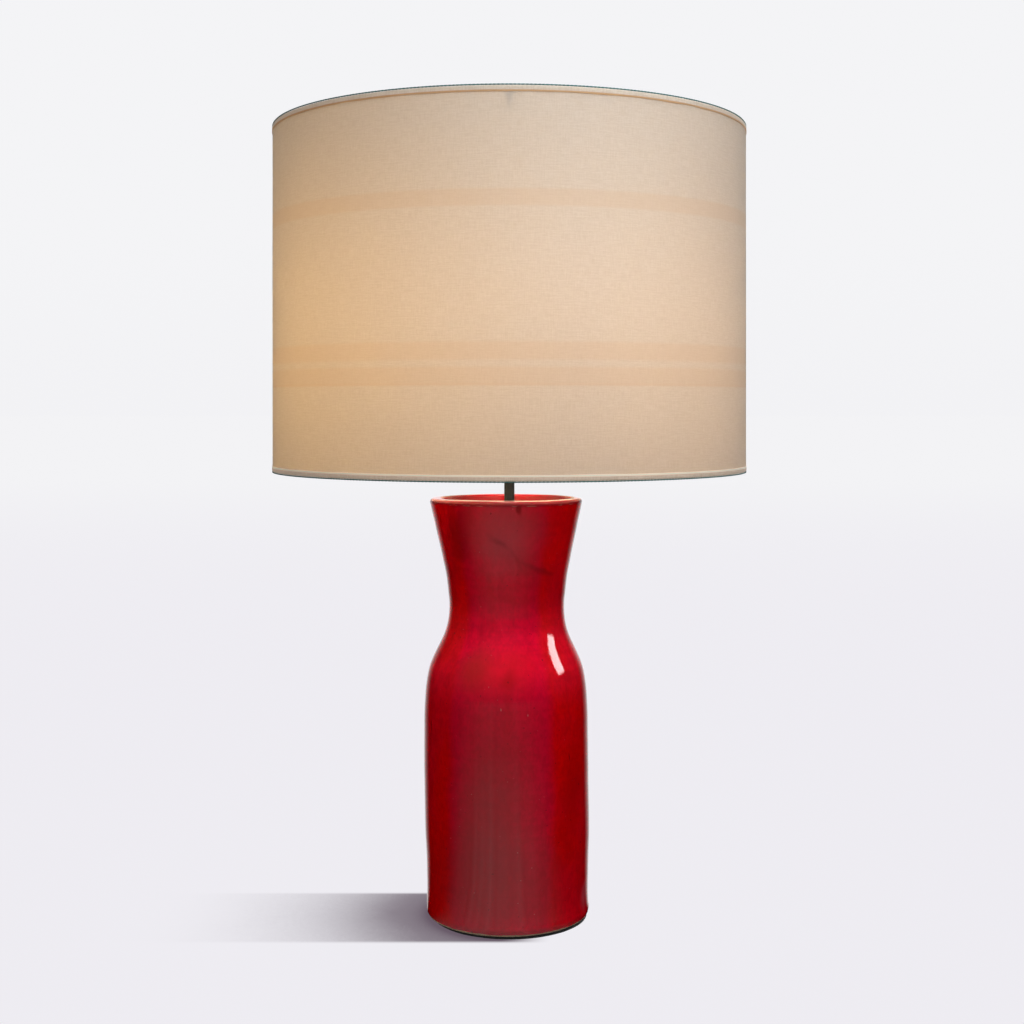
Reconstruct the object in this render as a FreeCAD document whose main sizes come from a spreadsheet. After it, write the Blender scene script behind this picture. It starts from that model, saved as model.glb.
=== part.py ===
import FreeCAD, Part
import math
import os
from types import SimpleNamespace

import Sketcher

# Table lamp: a waisted glazed vase with a turn-switch lampholder, a harp and a drum shade.
# Millimetres and degrees. +Z is up, -Y is the front, and the origin lies on the floor
# under the middle of the foot.

SIZES = {
    # vase, outside
    "body_radius": 80.0,
    "body_taper": 1.5,
    "taper_bottom": 45.0,
    "taper_top": 92.0,
    "foot_edge": 0.9,
    "glaze_height": 5.3,
    "shoulder_height": 202.0,
    "waist_bend": 70.0,
    "waist_height": 297.0,
    "waist_radius": 56.0,
    "neck_bend": 185.0,
    "flare_angle": 12.1,
    "vase_top": 405.3,
    # vase, inside
    "vase_wall": 9.0,
    "lip_rounding": 4.4,
    "floor_thickness": 12.0,
    "floor_corner": 12.0,
    "foot_wall": 16.5,
    "recess_depth": 22.0,
    # felt under the foot
    "felt_thickness": 3.0,
    "felt_inset": 0.8,
    # cord inlet in the back of the foot
    "inlet_height": 13.0,
    "inlet_bore": 3.25,
    "inlet_radius": 4.65,
    "inlet_gap": 0.1,
    "inlet_flange": 6.6,
    "inlet_flange_thickness": 1.8,
    # lamp tube and the nuts and washers on it
    "tube_radius": 5.0,
    "tube_bore": 3.5,
    "tube_stub": 1.0,
    "thread_gap": 0.05,
    "slip_gap": 0.3,
    "nut_flats": 14.0,
    "nut_thickness": 4.0,
    "washer_radius": 14.0,
    "washer_thickness": 1.5,
    "rubber_thickness": 2.0,
    # disc that centres the tube in the neck
    "neck_disc_rise": 48.0,
    "neck_disc_thickness": 1.5,
    "gasket_gap": 0.5,
    "gasket_web": 1.6,
    "gasket_lip": 4.0,
    "gasket_cover": 1.2,
    # harp saddle
    "saddle_height": 466.0,
    "saddle_thickness": 2.0,
    "saddle_width": 12.0,
    "saddle_flat": 12.0,
    "saddle_rise": 11.0,
    "saddle_foot": 24.0,
    "saddle_half_length": 33.5,
    "post_height": 7.0,
    # harp
    "harp_height": 254.0,
    "harp_wire_radius": 2.0,
    "harp_leg": 29.0,
    "harp_leg_straight": 38.0,
    "harp_swell_height": 60.0,
    "harp_belly": 55.0,
    "harp_top_radius": 6.0,
    "harp_top_below": 3.5,
    "harp_top_above": 8.5,
    "harp_channel_gap": 0.03,
    "ferrule_radius": 3.8,
    "ferrule_height": 14.0,
    "ferrule_gap": 0.08,
    # swivel stud and finial
    "stud_flange_radius": 9.0,
    "stud_flange_thickness": 2.0,
    "stud_shank_radius": 2.4,
    "stud_shank_length": 5.0,
    "stud_radius": 3.175,
    "stud_length": 14.0,
    "running_gap": 0.06,
    "finial_height": 20.0,
    "finial_base_radius": 6.5,
    "finial_base_height": 3.0,
    "finial_neck_radius": 4.2,
    "finial_ball_radius": 7.0,
    "finial_bore_depth": 12.5,
    # lampholder
    "cap_radius": 18.0,
    "cap_wall": 0.8,
    "cap_hub_radius": 8.5,
    "cap_hub_height": 7.0,
    "tube_in_cap": 7.8,
    "cap_height": 24.0,
    "grub_radius": 1.5,
    "grub_height": 3.6,
    "shell_wall": 0.6,
    "shell_gap": 0.05,
    "shell_top": 66.0,
    "sleeve_wall": 0.8,
    "sleeve_short": 2.5,
    "block_gap": 0.1,
    "block_top": 42.0,
    "terminal_height": 15.8,
    "terminal_face": 11.5,
    "terminal_flat_height": 8.0,
    "terminal_head_radius": 3.0,
    "terminal_head_thickness": 2.0,
    "terminal_shank_radius": 1.7,
    "terminal_shank_length": 6.0,
    "contact_radius": 4.5,
    "contact_thickness": 1.2,
    "screw_shell_opening": 6.5,
    "screw_shell_wall": 0.5,
    # turn switch
    "spindle_height": 30.0,
    "spindle_radius": 1.6,
    "slot_half_width": 2.6,
    "cavity_half": 9.5,
    "cavity_half_depth": 5.0,
    "rotor_half": 5.9,
    "rotor_half_depth": 4.0,
    "blade_thickness": 0.8,
    "blade_half_length": 8.0,
    "blade_half_width": 3.0,
    "knob_radius": 6.5,
    "knob_length": 13.0,
    "knob_stand_off": 19.0,
    "knob_bore_depth": 9.0,
    "knob_flute_radius": 1.0,
    "knob_edge": 0.8,
    # bulb
    "bulb_gap": 0.2,
    "bulb_tip_radius": 4.2,
    "bulb_tip_height": 1.3,
    "bulb_insulator_radius": 12.2,
    "bulb_insulator_height": 3.9,
    "thread_pitch": 3.63,
    "thread_bend": 1.36,
    "bulb_thread_radius": 12.7,
    "bulb_cap_bore": 11.6,
    "bulb_collar_radius": 13.4,
    "bulb_collar_height": 3.6,
    "socket_thread_gap": 0.3,
    "glass_wall": 0.8,
    "glass_neck_radius": 12.6,
    "glass_neck_top": 31.0,
    "glass_ball_radius": 30.0,
    "bulb_length": 110.0,
    "mount_radius": 4.0,
    "mount_tip_radius": 2.8,
    "mount_flare_height": 9.0,
    "mount_length": 33.0,
    "lead_radius": 0.4,
    "lead_offset": 1.8,
    "lead_length": 23.0,
    "lead_splay": 23.0,
    "filament_radius": 0.6,
    # shade
    "shade_radius": 228.6,
    "shade_height": 330.0,
    "piping_radius": 0.6,
    "hem_thickness": 0.4,
    "hem_height": 5.4,
    "fabric_thickness": 0.7,
    "liner_thickness": 0.5,
    "ring_radius": 1.75,
    "ring_gap": 0.02,
    "seam_width": 14.0,
    "seam_thickness": 0.3,
    "seam_gap": 0.1,
    # shade frame
    "hub_radius": 14.0,
    "hub_bore": 3.4,
    "hub_thickness": 4.0,
    "hub_socket_depth": 5.0,
    "arm_radius": 1.6,
    "arm_gap": 0.05,
    "arm_bend": 12.0,
    "arm_rise": 20.8,
}

KNOB_FLUTES = 12
SHADE_ARMS = 3
SEAM_ANGLE = 90
SPIDER_ANGLE = 180
THREAD_TURNS = 5


class Size:
    """A number together with the spreadsheet formula that it comes from."""

    def __init__(self, value, formula):
        self.value = value
        self.formula = formula

    def joined(self, sign, other, value):
        return Size(value, f"({self.formula} {sign} {other.formula})")

    def __add__(self, other):
        other = as_size(other)
        return self.joined("+", other, self.value + other.value)

    def __sub__(self, other):
        other = as_size(other)
        return self.joined("-", other, self.value - other.value)

    def __mul__(self, other):
        other = as_size(other)
        return self.joined("*", other, self.value * other.value)

    def __truediv__(self, other):
        other = as_size(other)
        return self.joined("/", other, self.value / other.value)

    def __rsub__(self, other):
        return as_size(other) - self

    def __rmul__(self, other):
        return as_size(other) * self

    def __neg__(self):
        return Size(-self.value, f"(0 - {self.formula})")


def as_size(number):
    """A plain number as a Size; a Size stays as it is."""
    if isinstance(number, Size):
        return number
    return Size(float(number), str(float(number)))


def root(number):
    return Size(math.sqrt(number.value), f"sqrt({number.formula})")


def sine(angle):
    return Size(math.sin(math.radians(angle.value)), f"sin({angle.formula})")


def cosine(angle):
    return Size(math.cos(math.radians(angle.value)), f"cos({angle.formula})")


def smaller(first, second):
    return Size(min(first.value, second.value), f"min({first.formula}; {second.formula})")


doc = FreeCAD.newDocument("VaseLamp")
sheet = doc.addObject("Spreadsheet::Sheet", "Sizes")
for row, (alias, value) in enumerate(SIZES.items(), start=1):
    sheet.set(f"A{row}", alias)
    sheet.set(f"B{row}", str(value))
    sheet.setAlias(f"B{row}", alias)
doc.recompute()
size = SimpleNamespace(**{alias: Size(value, "Sizes." + alias) for alias, value in SIZES.items()})
sub_parts = []


def bind(thing, name, number):
    """Tie one property of an object to the spreadsheet."""
    thing.setExpression(name, as_size(number).formula)


def place(thing, x=0, y=0, z=0, axis=None, angle=0):
    """Turn a sub-part about its own origin, then move it to its place."""
    if axis is not None:
        thing.Placement = FreeCAD.Placement(FreeCAD.Vector(), FreeCAD.Rotation(axis, angle))
    for letter, number in (("x", x), ("y", y), ("z", z)):
        if isinstance(number, Size):
            bind(thing, "Placement.Base." + letter, number)


def keep(thing, name):
    """Name a finished object and list it as a sub-part."""
    thing.Label = name
    sub_parts.append(thing)
    return thing


def new_body(name):
    return keep(doc.addObject("PartDesign::Body", name), name)


def new_sketch(body, plane="XZ_Plane", offset=None):
    """A sketch on one of the body's own origin planes, moved along the plane's normal."""
    sketch = body.newObject("Sketcher::SketchObject", body.Name + "_outline")
    support = next(item for item in body.Origin.OriginFeatures if item.Role == plane)
    sketch.AttachmentSupport = [(support, "")]
    sketch.MapMode = "FlatFace"
    if offset is not None:
        bind(sketch, "AttachmentOffset.Base.z", offset)
    return sketch


def pin(sketch, geometry, point, x, y):
    """Fix one point of a sketch at x, y."""
    for kind, number in (("DistanceX", as_size(x)), ("DistanceY", as_size(y))):
        constraint = Sketcher.Constraint(kind, -1, 1, geometry, point, number.value)
        bind(sketch, f"Constraints[{sketch.addConstraint(constraint)}]", number)


def arc_between(start, end, radius, side):
    """The shorter arc from start to end, with its centre on the left or right of the way."""
    chord = end - start
    middle = (start + end) * 0.5
    reach = math.sqrt(max(radius * radius - chord.Length * chord.Length / 4, 0))
    left = FreeCAD.Vector(-chord.y, chord.x, 0).normalize()
    turn = 1 if side == "left" else -1
    centre = middle + left * reach * turn
    first, last = (start, end) if side == "left" else (end, start)
    angles = [math.atan2(spot.y - centre.y, spot.x - centre.x) for spot in (first, last)]
    circle = Part.Circle(centre, FreeCAD.Vector(0, 0, 1), radius)
    return Part.ArcOfCircle(circle, angles[0], angles[1])


def draw_path(sketch, corners, closed=True):
    """Draw runs from corner to corner. A corner is (x, y), or (x, y, radius, side) where an
    arc leaves it whose centre is on that side of the way."""
    spots = [FreeCAD.Vector(as_size(c[0]).value, as_size(c[1]).value, 0) for c in corners]
    runs = len(corners) if closed else len(corners) - 1
    ends = []
    for index in range(runs):
        start, end = spots[index], spots[(index + 1) % len(spots)]
        corner = corners[index]
        if len(corner) == 2:
            geometry = sketch.addGeometry(Part.LineSegment(start, end))
            ends.append((geometry, 1, 2))
            continue
        radius, side = as_size(corner[2]), corner[3]
        geometry = sketch.addGeometry(arc_between(start, end, radius.value, side))
        number = sketch.addConstraint(Sketcher.Constraint("Radius", geometry, radius.value))
        bind(sketch, f"Constraints[{number}]", radius)
        ends.append((geometry, 1, 2) if side == "left" else (geometry, 2, 1))
    for index, (geometry, first, last) in enumerate(ends):
        pin(sketch, geometry, first, corners[index][0], corners[index][1])
        if index > 0 or closed:
            before = ends[index - 1]
            link = Sketcher.Constraint("Coincident", before[0], before[2], geometry, first)
            sketch.addConstraint(link)
    if not closed:
        pin(sketch, ends[-1][0], ends[-1][2], corners[-1][0], corners[-1][1])


def draw_circle(sketch, radius, x=0, y=0):
    """Draw a circle about x, y."""
    radius = as_size(radius)
    centre = FreeCAD.Vector(as_size(x).value, as_size(y).value, 0)
    circle = Part.Circle(centre, FreeCAD.Vector(0, 0, 1), radius.value)
    geometry = sketch.addGeometry(circle)
    number = sketch.addConstraint(Sketcher.Constraint("Radius", geometry, radius.value))
    bind(sketch, f"Constraints[{number}]", radius)
    pin(sketch, geometry, 3, x, y)


def draw_box(sketch, left, right, bottom, top):
    draw_path(sketch, [(left, bottom), (right, bottom), (right, top), (left, top)])


def add_turning(body, kind, sketch, angle=360):
    """Revolve or groove a sketch about its own vertical axis."""
    feature = body.newObject("PartDesign::" + kind, f"{body.Name}_{kind}")
    feature.Profile = sketch
    feature.ReferenceAxis = (sketch, ["V_Axis"])
    if isinstance(angle, Size):
        bind(feature, "Angle", angle)
        feature.Midplane = True
    else:
        feature.Angle = angle
    return feature


def add_pad(body, sketch, length, both_ways=False):
    feature = body.newObject("PartDesign::Pad", body.Name + "_pad")
    feature.Profile = sketch
    feature.Midplane = both_ways
    bind(feature, "Length", length)
    return feature


def add_pocket(body, sketch, length, both_ways=False, backwards=False):
    """Cut a sketch out of the body, into the plane or, backwards, out along its normal."""
    feature = body.newObject("PartDesign::Pocket", body.Name + "_pocket")
    feature.Profile = sketch
    feature.Midplane = both_ways
    feature.Reversed = backwards
    bind(feature, "Length", length)
    return feature


def add_rounding(body, base, radius, is_edge):
    """Round those edges of the feature so far that is_edge picks."""
    doc.recompute()
    names = [f"Edge{n}" for n, edge in enumerate(base.Shape.Edges, start=1) if is_edge(edge)]
    feature = body.newObject("PartDesign::Fillet", body.Name + "_rounding")
    feature.Base = (base, names)
    bind(feature, "Radius", radius)
    return feature


def circle_at(height, radius=None):
    """A test that picks round edges at a height and, where given, of a radius."""
    def is_edge(edge):
        if not isinstance(edge.Curve, Part.Circle):
            return False
        near = abs(edge.Curve.Center.z - height.value) < 0.01
        return near and (radius is None or abs(edge.Curve.Radius - radius.value) < 0.01)
    return is_edge


def turned(name, corners, z=0, y=0, axis=None, angle=0):
    """A piece turned about its own Z axis."""
    body = new_body(name)
    sketch = new_sketch(body)
    draw_path(sketch, corners)
    add_turning(body, "Revolution", sketch)
    place(body, y=y, z=z, axis=axis, angle=angle)
    return body


def tube(name, bore, outside, length, x=0, z=0, rise=None):
    """A round piece, with a bore if one is given, that starts at rise above its own origin."""
    body = new_body(name)
    sketch = new_sketch(body, "XY_Plane", rise)
    draw_circle(sketch, outside)
    if bore is not None:
        draw_circle(sketch, bore)
    add_pad(body, sketch, length)
    place(body, x=x, z=z)
    return body


def wire_ring(name, ring_radius, wire_radius, z):
    """A closed ring of round wire."""
    ring = keep(doc.addObject("Part::Torus", name), name)
    bind(ring, "Radius1", ring_radius)
    bind(ring, "Radius2", wire_radius)
    place(ring, z=z)
    return ring


def cylinder(name, radius, length, x=0, y=0, z=0, axis=None, angle=0):
    """A plain round bar, as a primitive for booleans and compounds."""
    bar = doc.addObject("Part::Cylinder", name)
    bind(bar, "Radius", radius)
    bind(bar, "Height", length)
    place(bar, x, y, z, axis, angle)
    return bar


def group(name, pieces):
    """Several separate solids that share one node."""
    compound = keep(doc.addObject("Part::Compound", name), name)
    compound.Links = pieces
    return compound


X_AXIS = FreeCAD.Vector(1, 0, 0)
Y_AXIS = FreeCAD.Vector(0, 1, 0)
Z_AXIS = FreeCAD.Vector(0, 0, 1)

# heights and radii that several pieces share
glaze_radius = size.body_radius - size.body_taper
foot_radius = glaze_radius - size.foot_edge
recess_radius = glaze_radius - size.foot_wall
foot_bottom = size.felt_thickness
recess_top = foot_bottom + size.recess_depth
floor_top = recess_top + size.floor_thickness
rubber_bottom = recess_top - size.rubber_thickness
base_washer_bottom = rubber_bottom - size.washer_thickness
base_nut_bottom = base_washer_bottom - size.nut_thickness
tube_bottom = base_nut_bottom - size.tube_stub
threaded_bore = size.tube_radius + size.thread_gap
slip_bore = size.tube_radius + size.slip_gap
neck_disc_height = size.waist_height + size.neck_disc_rise
cap_bottom = size.saddle_height + size.saddle_thickness
tube_top = cap_bottom + size.tube_in_cap
ledge_top = size.saddle_height + size.saddle_rise + size.saddle_thickness
harp_foot = ledge_top + size.post_height
shade_seat = ledge_top + size.harp_height
stud_seat = shade_seat - size.stud_flange_thickness
harp_top_bottom = stud_seat - size.harp_top_above - size.harp_top_below
harp_apex = stud_seat - size.harp_top_above


# shade levels, from the hub up to the ring and from the ring out to the hem
top_ring_height = shade_seat + size.hub_thickness / 2 + size.arm_rise + size.ring_radius
laminate_top = top_ring_height + size.ring_radius
shade_top = laminate_top + size.hem_thickness + 2 * size.piping_radius
shade_bottom = shade_top - size.shade_height
laminate_bottom = shade_bottom + 2 * size.piping_radius + size.hem_thickness
fabric_radius = size.shade_radius - size.hem_thickness
liner_radius = fabric_radius - size.fabric_thickness
liner_bore = liner_radius - size.liner_thickness
ring_centre = liner_bore - size.ring_gap - size.ring_radius

# lampholder levels, above the bottom of its cap
bowl_bend = size.cap_radius - size.cap_hub_radius
bowl_top = size.cap_hub_height + bowl_bend
shell_radius = size.cap_radius - size.cap_wall - size.shell_gap
sleeve_radius = shell_radius - size.shell_wall - size.shell_gap
block_radius = sleeve_radius - size.sleeve_wall - size.block_gap
bulb_bottom = cap_bottom + size.block_top + size.contact_thickness + size.bulb_gap
bulb_thread_start = size.bulb_tip_height + size.bulb_insulator_height
bulb_step = bulb_thread_start + THREAD_TURNS * size.thread_pitch
mount_top = bulb_step + size.mount_length


def neck_start():
    """Where the neck's straight flare leaves its bend, on the outside."""
    radius = size.waist_radius + size.neck_bend * (1 - cosine(size.flare_angle))
    height = size.waist_height + size.neck_bend * sine(size.flare_angle)
    return radius, height


def neck_radius(height):
    """Outside radius of the vase at a height where the neck flares straight."""
    radius, start = neck_start()
    return radius + (height - start) * sine(size.flare_angle) / cosine(size.flare_angle)


def make_vase():
    """Thrown vase: hollow foot, cylinder, shoulder, waist and flared lip."""
    drop = size.waist_height - size.shoulder_height
    step = size.body_radius - size.waist_radius
    both_bends = (drop * drop + step * step) / (2 * step)
    shoulder_bend = both_bends - size.waist_bend
    lean_in = step / both_bends
    lean_up = drop / both_bends
    turn_x = size.waist_radius + size.waist_bend * lean_in
    turn_z = size.waist_height - size.waist_bend * lean_up
    wall = size.vase_wall
    neck_x, neck_z = neck_start()
    lip_x = neck_radius(size.vase_top)

    body = new_body("vase")
    outside = new_sketch(body)
    draw_path(outside, [
        (0, foot_bottom),
        (foot_radius, foot_bottom),
        (glaze_radius, size.glaze_height),
        (glaze_radius, size.taper_bottom),
        (size.body_radius, size.taper_top),
        (size.body_radius, size.shoulder_height, shoulder_bend, "left"),
        (turn_x, turn_z, size.waist_bend, "right"),
        (size.waist_radius, size.waist_height, size.neck_bend, "right"),
        (neck_x, neck_z),
        (lip_x, size.vase_top),
        (0, size.vase_top),
    ])
    add_turning(body, "Revolution", outside)

    inside = new_sketch(body)
    draw_path(inside, [
        (0, foot_bottom),
        (recess_radius, foot_bottom),
        (recess_radius, recess_top),
        (slip_bore, recess_top),
        (slip_bore, floor_top),
        (glaze_radius - wall, floor_top),
        (size.body_radius - wall, size.taper_top),
        (size.body_radius - wall, size.shoulder_height, shoulder_bend - wall, "left"),
        (turn_x - wall * (1 - lean_in), turn_z - wall * lean_up, size.waist_bend + wall, "right"),
        (size.waist_radius - wall, size.waist_height, size.neck_bend + wall, "right"),
        (neck_x - wall * cosine(size.flare_angle), neck_z + wall * sine(size.flare_angle)),
        (lip_x - wall / cosine(size.flare_angle), size.vase_top),
        (0, size.vase_top),
    ])
    hollow = add_turning(body, "Groove", inside)
    rim = smaller(size.lip_rounding, wall * 0.48)
    rounded = add_rounding(body, hollow, rim, circle_at(size.vase_top))
    corner = circle_at(floor_top, glaze_radius - wall)
    add_rounding(body, rounded, size.floor_corner, corner)

    inlet = new_sketch(body)
    draw_circle(inlet, size.inlet_radius + size.inlet_gap, 0, size.inlet_height)
    add_pocket(body, inlet, glaze_radius)


def make_foot():
    """Felt pad under the foot and the rubber grommet of the cord inlet in its back."""
    tube("felt_pad", None, foot_radius - size.felt_inset, size.felt_thickness)
    flange = size.inlet_flange
    seat = root(recess_radius * recess_radius - flange * flange)
    start = seat - size.inlet_flange_thickness
    length = glaze_radius + size.inlet_flange_thickness - start
    inner = size.inlet_flange_thickness
    outer = length - size.inlet_flange_thickness
    turned("cord_grommet", [
        (size.inlet_bore, 0),
        (flange, 0),
        (flange, inner),
        (size.inlet_radius, inner),
        (size.inlet_radius, outer),
        (flange, outer),
        (flange, length),
        (size.inlet_bore, length),
    ], y=start, z=size.inlet_height, axis=X_AXIS, angle=-90)


def hex_nut(name, z):
    """A thin hexagon nut on the lamp tube."""
    body = new_body(name)
    sketch = new_sketch(body, "XY_Plane")
    corner = size.nut_flats / math.sqrt(3)
    angles = [math.radians(60 * step) for step in range(6)]
    draw_path(sketch, [(corner * math.cos(turn), corner * math.sin(turn)) for turn in angles])
    draw_circle(sketch, threaded_bore)
    add_pad(body, sketch, size.nut_thickness)
    place(body, z=z)


def make_tube():
    """Lamp tube and what clamps the vase to it from below."""
    tube("lamp_tube", size.tube_bore, size.tube_radius, tube_top - tube_bottom, z=tube_bottom)
    rubber = size.rubber_thickness
    tube("base_rubber_washer", threaded_bore, size.washer_radius, rubber, z=rubber_bottom)
    steel = size.washer_thickness
    tube("base_washer", threaded_bore, size.washer_radius, steel, z=base_washer_bottom)
    hex_nut("base_nut", base_nut_bottom)


def make_neck_disc():
    """Steel disc with a rubber edge that centres the tube where the neck narrows."""
    gasket_bottom = neck_disc_height - size.gasket_cover
    height = size.neck_disc_thickness + 2 * size.gasket_cover
    wall = size.vase_wall / cosine(size.flare_angle) + size.gasket_gap
    lower = neck_radius(gasket_bottom) - wall
    upper = neck_radius(gasket_bottom + height) - wall
    edge = lower - size.gasket_web
    lip = edge - size.gasket_lip
    turned("neck_gasket", [
        (lip, 0),
        (lower, 0),
        (upper, height),
        (lip, height),
        (lip, height - size.gasket_cover),
        (edge, height - size.gasket_cover),
        (edge, size.gasket_cover),
        (lip, size.gasket_cover),
    ], z=gasket_bottom)
    steel = size.neck_disc_thickness
    tube("neck_disc", slip_bore, edge, steel, z=neck_disc_height)
    washer_bottom = neck_disc_height + steel
    thin = size.washer_thickness
    tube("neck_washer", threaded_bore, size.washer_radius, thin, z=washer_bottom)
    hex_nut("neck_nut", washer_bottom + thin)


def make_saddle():
    """Bent strip on the tube, with a post at each end for the harp."""
    hex_nut("saddle_nut", size.saddle_height - size.nut_thickness)
    body = new_body("harp_saddle")
    strip = new_sketch(body)
    thick = size.saddle_thickness
    run = size.saddle_foot - size.saddle_flat
    slope = root(run * run + size.saddle_rise * size.saddle_rise)
    shift = thick * size.saddle_rise / (slope + run)
    lower = [
        (size.saddle_flat, as_size(0)),
        (size.saddle_foot, size.saddle_rise),
        (size.saddle_half_length, size.saddle_rise),
    ]
    upper = [
        (size.saddle_half_length, size.saddle_rise + thick),
        (size.saddle_foot - shift, size.saddle_rise + thick),
        (size.saddle_flat - shift, thick),
    ]
    right = lower + upper
    left = [(-x, z) for x, z in reversed(right)]
    draw_path(strip, right + left)
    add_pad(body, strip, size.saddle_width, both_ways=True)
    posts = new_sketch(body, "XY_Plane", size.saddle_rise + thick)
    for side in (-1, 1):
        draw_circle(posts, size.harp_wire_radius, size.harp_leg * side)
    add_pad(body, posts, size.post_height)
    hole = new_sketch(body, "XY_Plane")
    draw_circle(hole, slip_bore)
    add_pocket(body, hole, thick * 4, both_ways=True)
    place(body, z=size.saddle_height)


def cut_spindle_slot(body):
    """Open a shell at the front, from its lower edge to just above the switch spindle."""
    slot = new_sketch(body)
    half = size.slot_half_width
    draw_box(slot, -half, half, bowl_top - half, size.spindle_height + half)
    add_pocket(body, slot, size.cap_radius, backwards=True)


def make_lampholder():
    """Cap, outer shell, insulating sleeve and block, contacts and screw shell."""
    wall = size.cap_wall
    cap = turned("socket_cap", [
        (threaded_bore, 0),
        (size.cap_hub_radius, 0),
        (size.cap_hub_radius, size.cap_hub_height, bowl_bend, "left"),
        (size.cap_radius, bowl_top),
        (size.cap_radius, size.cap_height),
        (size.cap_radius - wall, size.cap_height),
        (size.cap_radius - wall, bowl_top, bowl_bend - wall, "right"),
        (size.cap_hub_radius, size.cap_hub_height + wall),
        (threaded_bore, size.cap_hub_height + wall),
    ], z=cap_bottom)
    grub_hole = new_sketch(cap)
    draw_circle(grub_hole, size.grub_radius + size.thread_gap, 0, size.grub_height)
    add_pocket(cap, grub_hole, size.cap_radius)
    grub = cylinder("cap_grub_screw", size.grub_radius, size.cap_hub_radius - size.tube_radius,
                    y=threaded_bore, z=cap_bottom + size.grub_height, axis=X_AXIS, angle=-90)
    keep(grub, "cap_grub_screw")

    shell = tube("socket_shell", shell_radius - size.shell_wall, shell_radius,
                 size.shell_top - bowl_top, z=cap_bottom, rise=bowl_top)
    cut_spindle_slot(shell)
    sleeve = tube("socket_sleeve", sleeve_radius - size.sleeve_wall, sleeve_radius,
                  size.shell_top - size.sleeve_short - bowl_top, z=cap_bottom, rise=bowl_top)
    cut_spindle_slot(sleeve)

    make_block()
    tube("centre_contact", None, size.contact_radius, size.contact_thickness,
         z=cap_bottom + size.block_top)
    make_screw_shell()


def make_block():
    """Insulating block that stands in the cap's bowl and holds switch and terminals."""
    inside_bend = bowl_bend - size.cap_wall
    reach = block_radius - size.cap_hub_radius
    depth = root(inside_bend * inside_bend - reach * reach)
    bottom = bowl_top - depth + size.thread_gap
    block = tube("socket_block", None, block_radius, size.block_top - bottom,
                 z=cap_bottom, rise=bottom)
    cavity = new_sketch(block)
    half = size.cavity_half
    draw_box(cavity, -half, half, size.spindle_height - half, size.spindle_height + half)
    add_pocket(block, cavity, 2 * size.cavity_half_depth, both_ways=True)
    bore = new_sketch(block)
    draw_circle(bore, size.spindle_radius + size.running_gap, 0, size.spindle_height)
    add_pocket(block, bore, size.cap_radius, backwards=True)
    flats = new_sketch(block)
    face, edge = size.terminal_face, size.cap_radius
    flat_top = bottom + size.terminal_flat_height
    draw_box(flats, face, edge, 0, flat_top)
    draw_box(flats, -edge, -face, 0, flat_top)
    add_pocket(block, flats, 2 * size.cap_radius, both_ways=True)
    holes = new_sketch(block, "YZ_Plane")
    draw_circle(holes, size.terminal_shank_radius + size.thread_gap, 0, size.terminal_height)
    add_pocket(block, holes, 2 * size.cap_radius, both_ways=True)

    screws = []
    height = cap_bottom + size.terminal_height
    for side, letter in ((1, "a"), (-1, "b")):
        head = cylinder("terminal_head_" + letter, size.terminal_head_radius,
                        size.terminal_head_thickness, x=side * size.terminal_face, z=height,
                        axis=Y_AXIS, angle=90 * side)
        start = size.terminal_face - size.terminal_shank_length
        shank = cylinder("terminal_shank_" + letter, size.terminal_shank_radius,
                         size.terminal_shank_length, x=side * start, z=height,
                         axis=Y_AXIS, angle=90 * side)
        screw = doc.addObject("Part::Fuse", "terminal_screw_" + letter)
        screw.Base, screw.Tool = head, shank
        screws.append(screw)
    group("terminal_screws", screws)


def ribs_up(radius, bottom, turns):
    """Outer section of a rolled thread, from its lower to its upper end."""
    half = size.thread_pitch / 2
    return [(radius, bottom + half * step, size.thread_bend, ("left", "right")[step % 2])
            for step in range(2 * turns)]


def ribs_down(radius, bottom, turns):
    """The same section as the wall round it, from its upper to its lower end."""
    half = size.thread_pitch / 2
    return [(radius, bottom + half * (step + 1), size.thread_bend, ("right", "left")[step % 2])
            for step in reversed(range(2 * turns))]


def make_screw_shell():
    """Rolled brass shell that the bulb screws into; its top turn stays above the shell."""
    quarter = size.thread_pitch / 4
    swell = size.thread_bend - root(size.thread_bend * size.thread_bend - quarter * quarter)
    middle = size.bulb_thread_radius + size.socket_thread_gap
    outside = middle + swell + size.screw_shell_wall
    start = bulb_bottom - cap_bottom + bulb_thread_start
    top = start + (THREAD_TURNS - 1) * size.thread_pitch
    plate = size.block_top + size.screw_shell_wall
    corners = [
        (size.screw_shell_opening, size.block_top),
        (outside, size.block_top),
        (outside, top),
    ]
    corners += ribs_down(middle, start, THREAD_TURNS - 1)
    corners += [(middle, start), (middle, plate), (size.screw_shell_opening, plate)]
    turned("screw_shell", corners, z=cap_bottom)


def make_switch():
    """Turn switch: knob, spindle and rotor turn together beside a fixed blade."""
    axis_height = cap_bottom + size.spindle_height
    blade = keep(doc.addObject("Part::Box", "switch_blade"), "switch_blade")
    bind(blade, "Length", 2 * size.blade_half_length)
    bind(blade, "Width", 2 * size.blade_half_width)
    bind(blade, "Height", size.blade_thickness)
    place(blade, -size.blade_half_length, -size.blade_half_width, axis_height - size.cavity_half)

    rotor = new_body("switch_rotor")
    outline = new_sketch(rotor)
    half = size.rotor_half
    draw_box(outline, -half, half, -half, half)
    draw_circle(outline, size.spindle_radius + size.thread_gap)
    add_pad(rotor, outline, 2 * size.rotor_half_depth, both_ways=True)
    place(rotor, z=axis_height)

    reach = size.rotor_half_depth + size.knob_stand_off + size.knob_bore_depth
    spindle = cylinder("switch_spindle", size.spindle_radius, reach,
                       y=size.rotor_half_depth, z=axis_height, axis=X_AXIS, angle=90)
    keep(spindle, "switch_spindle")
    make_knob(axis_height)


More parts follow.
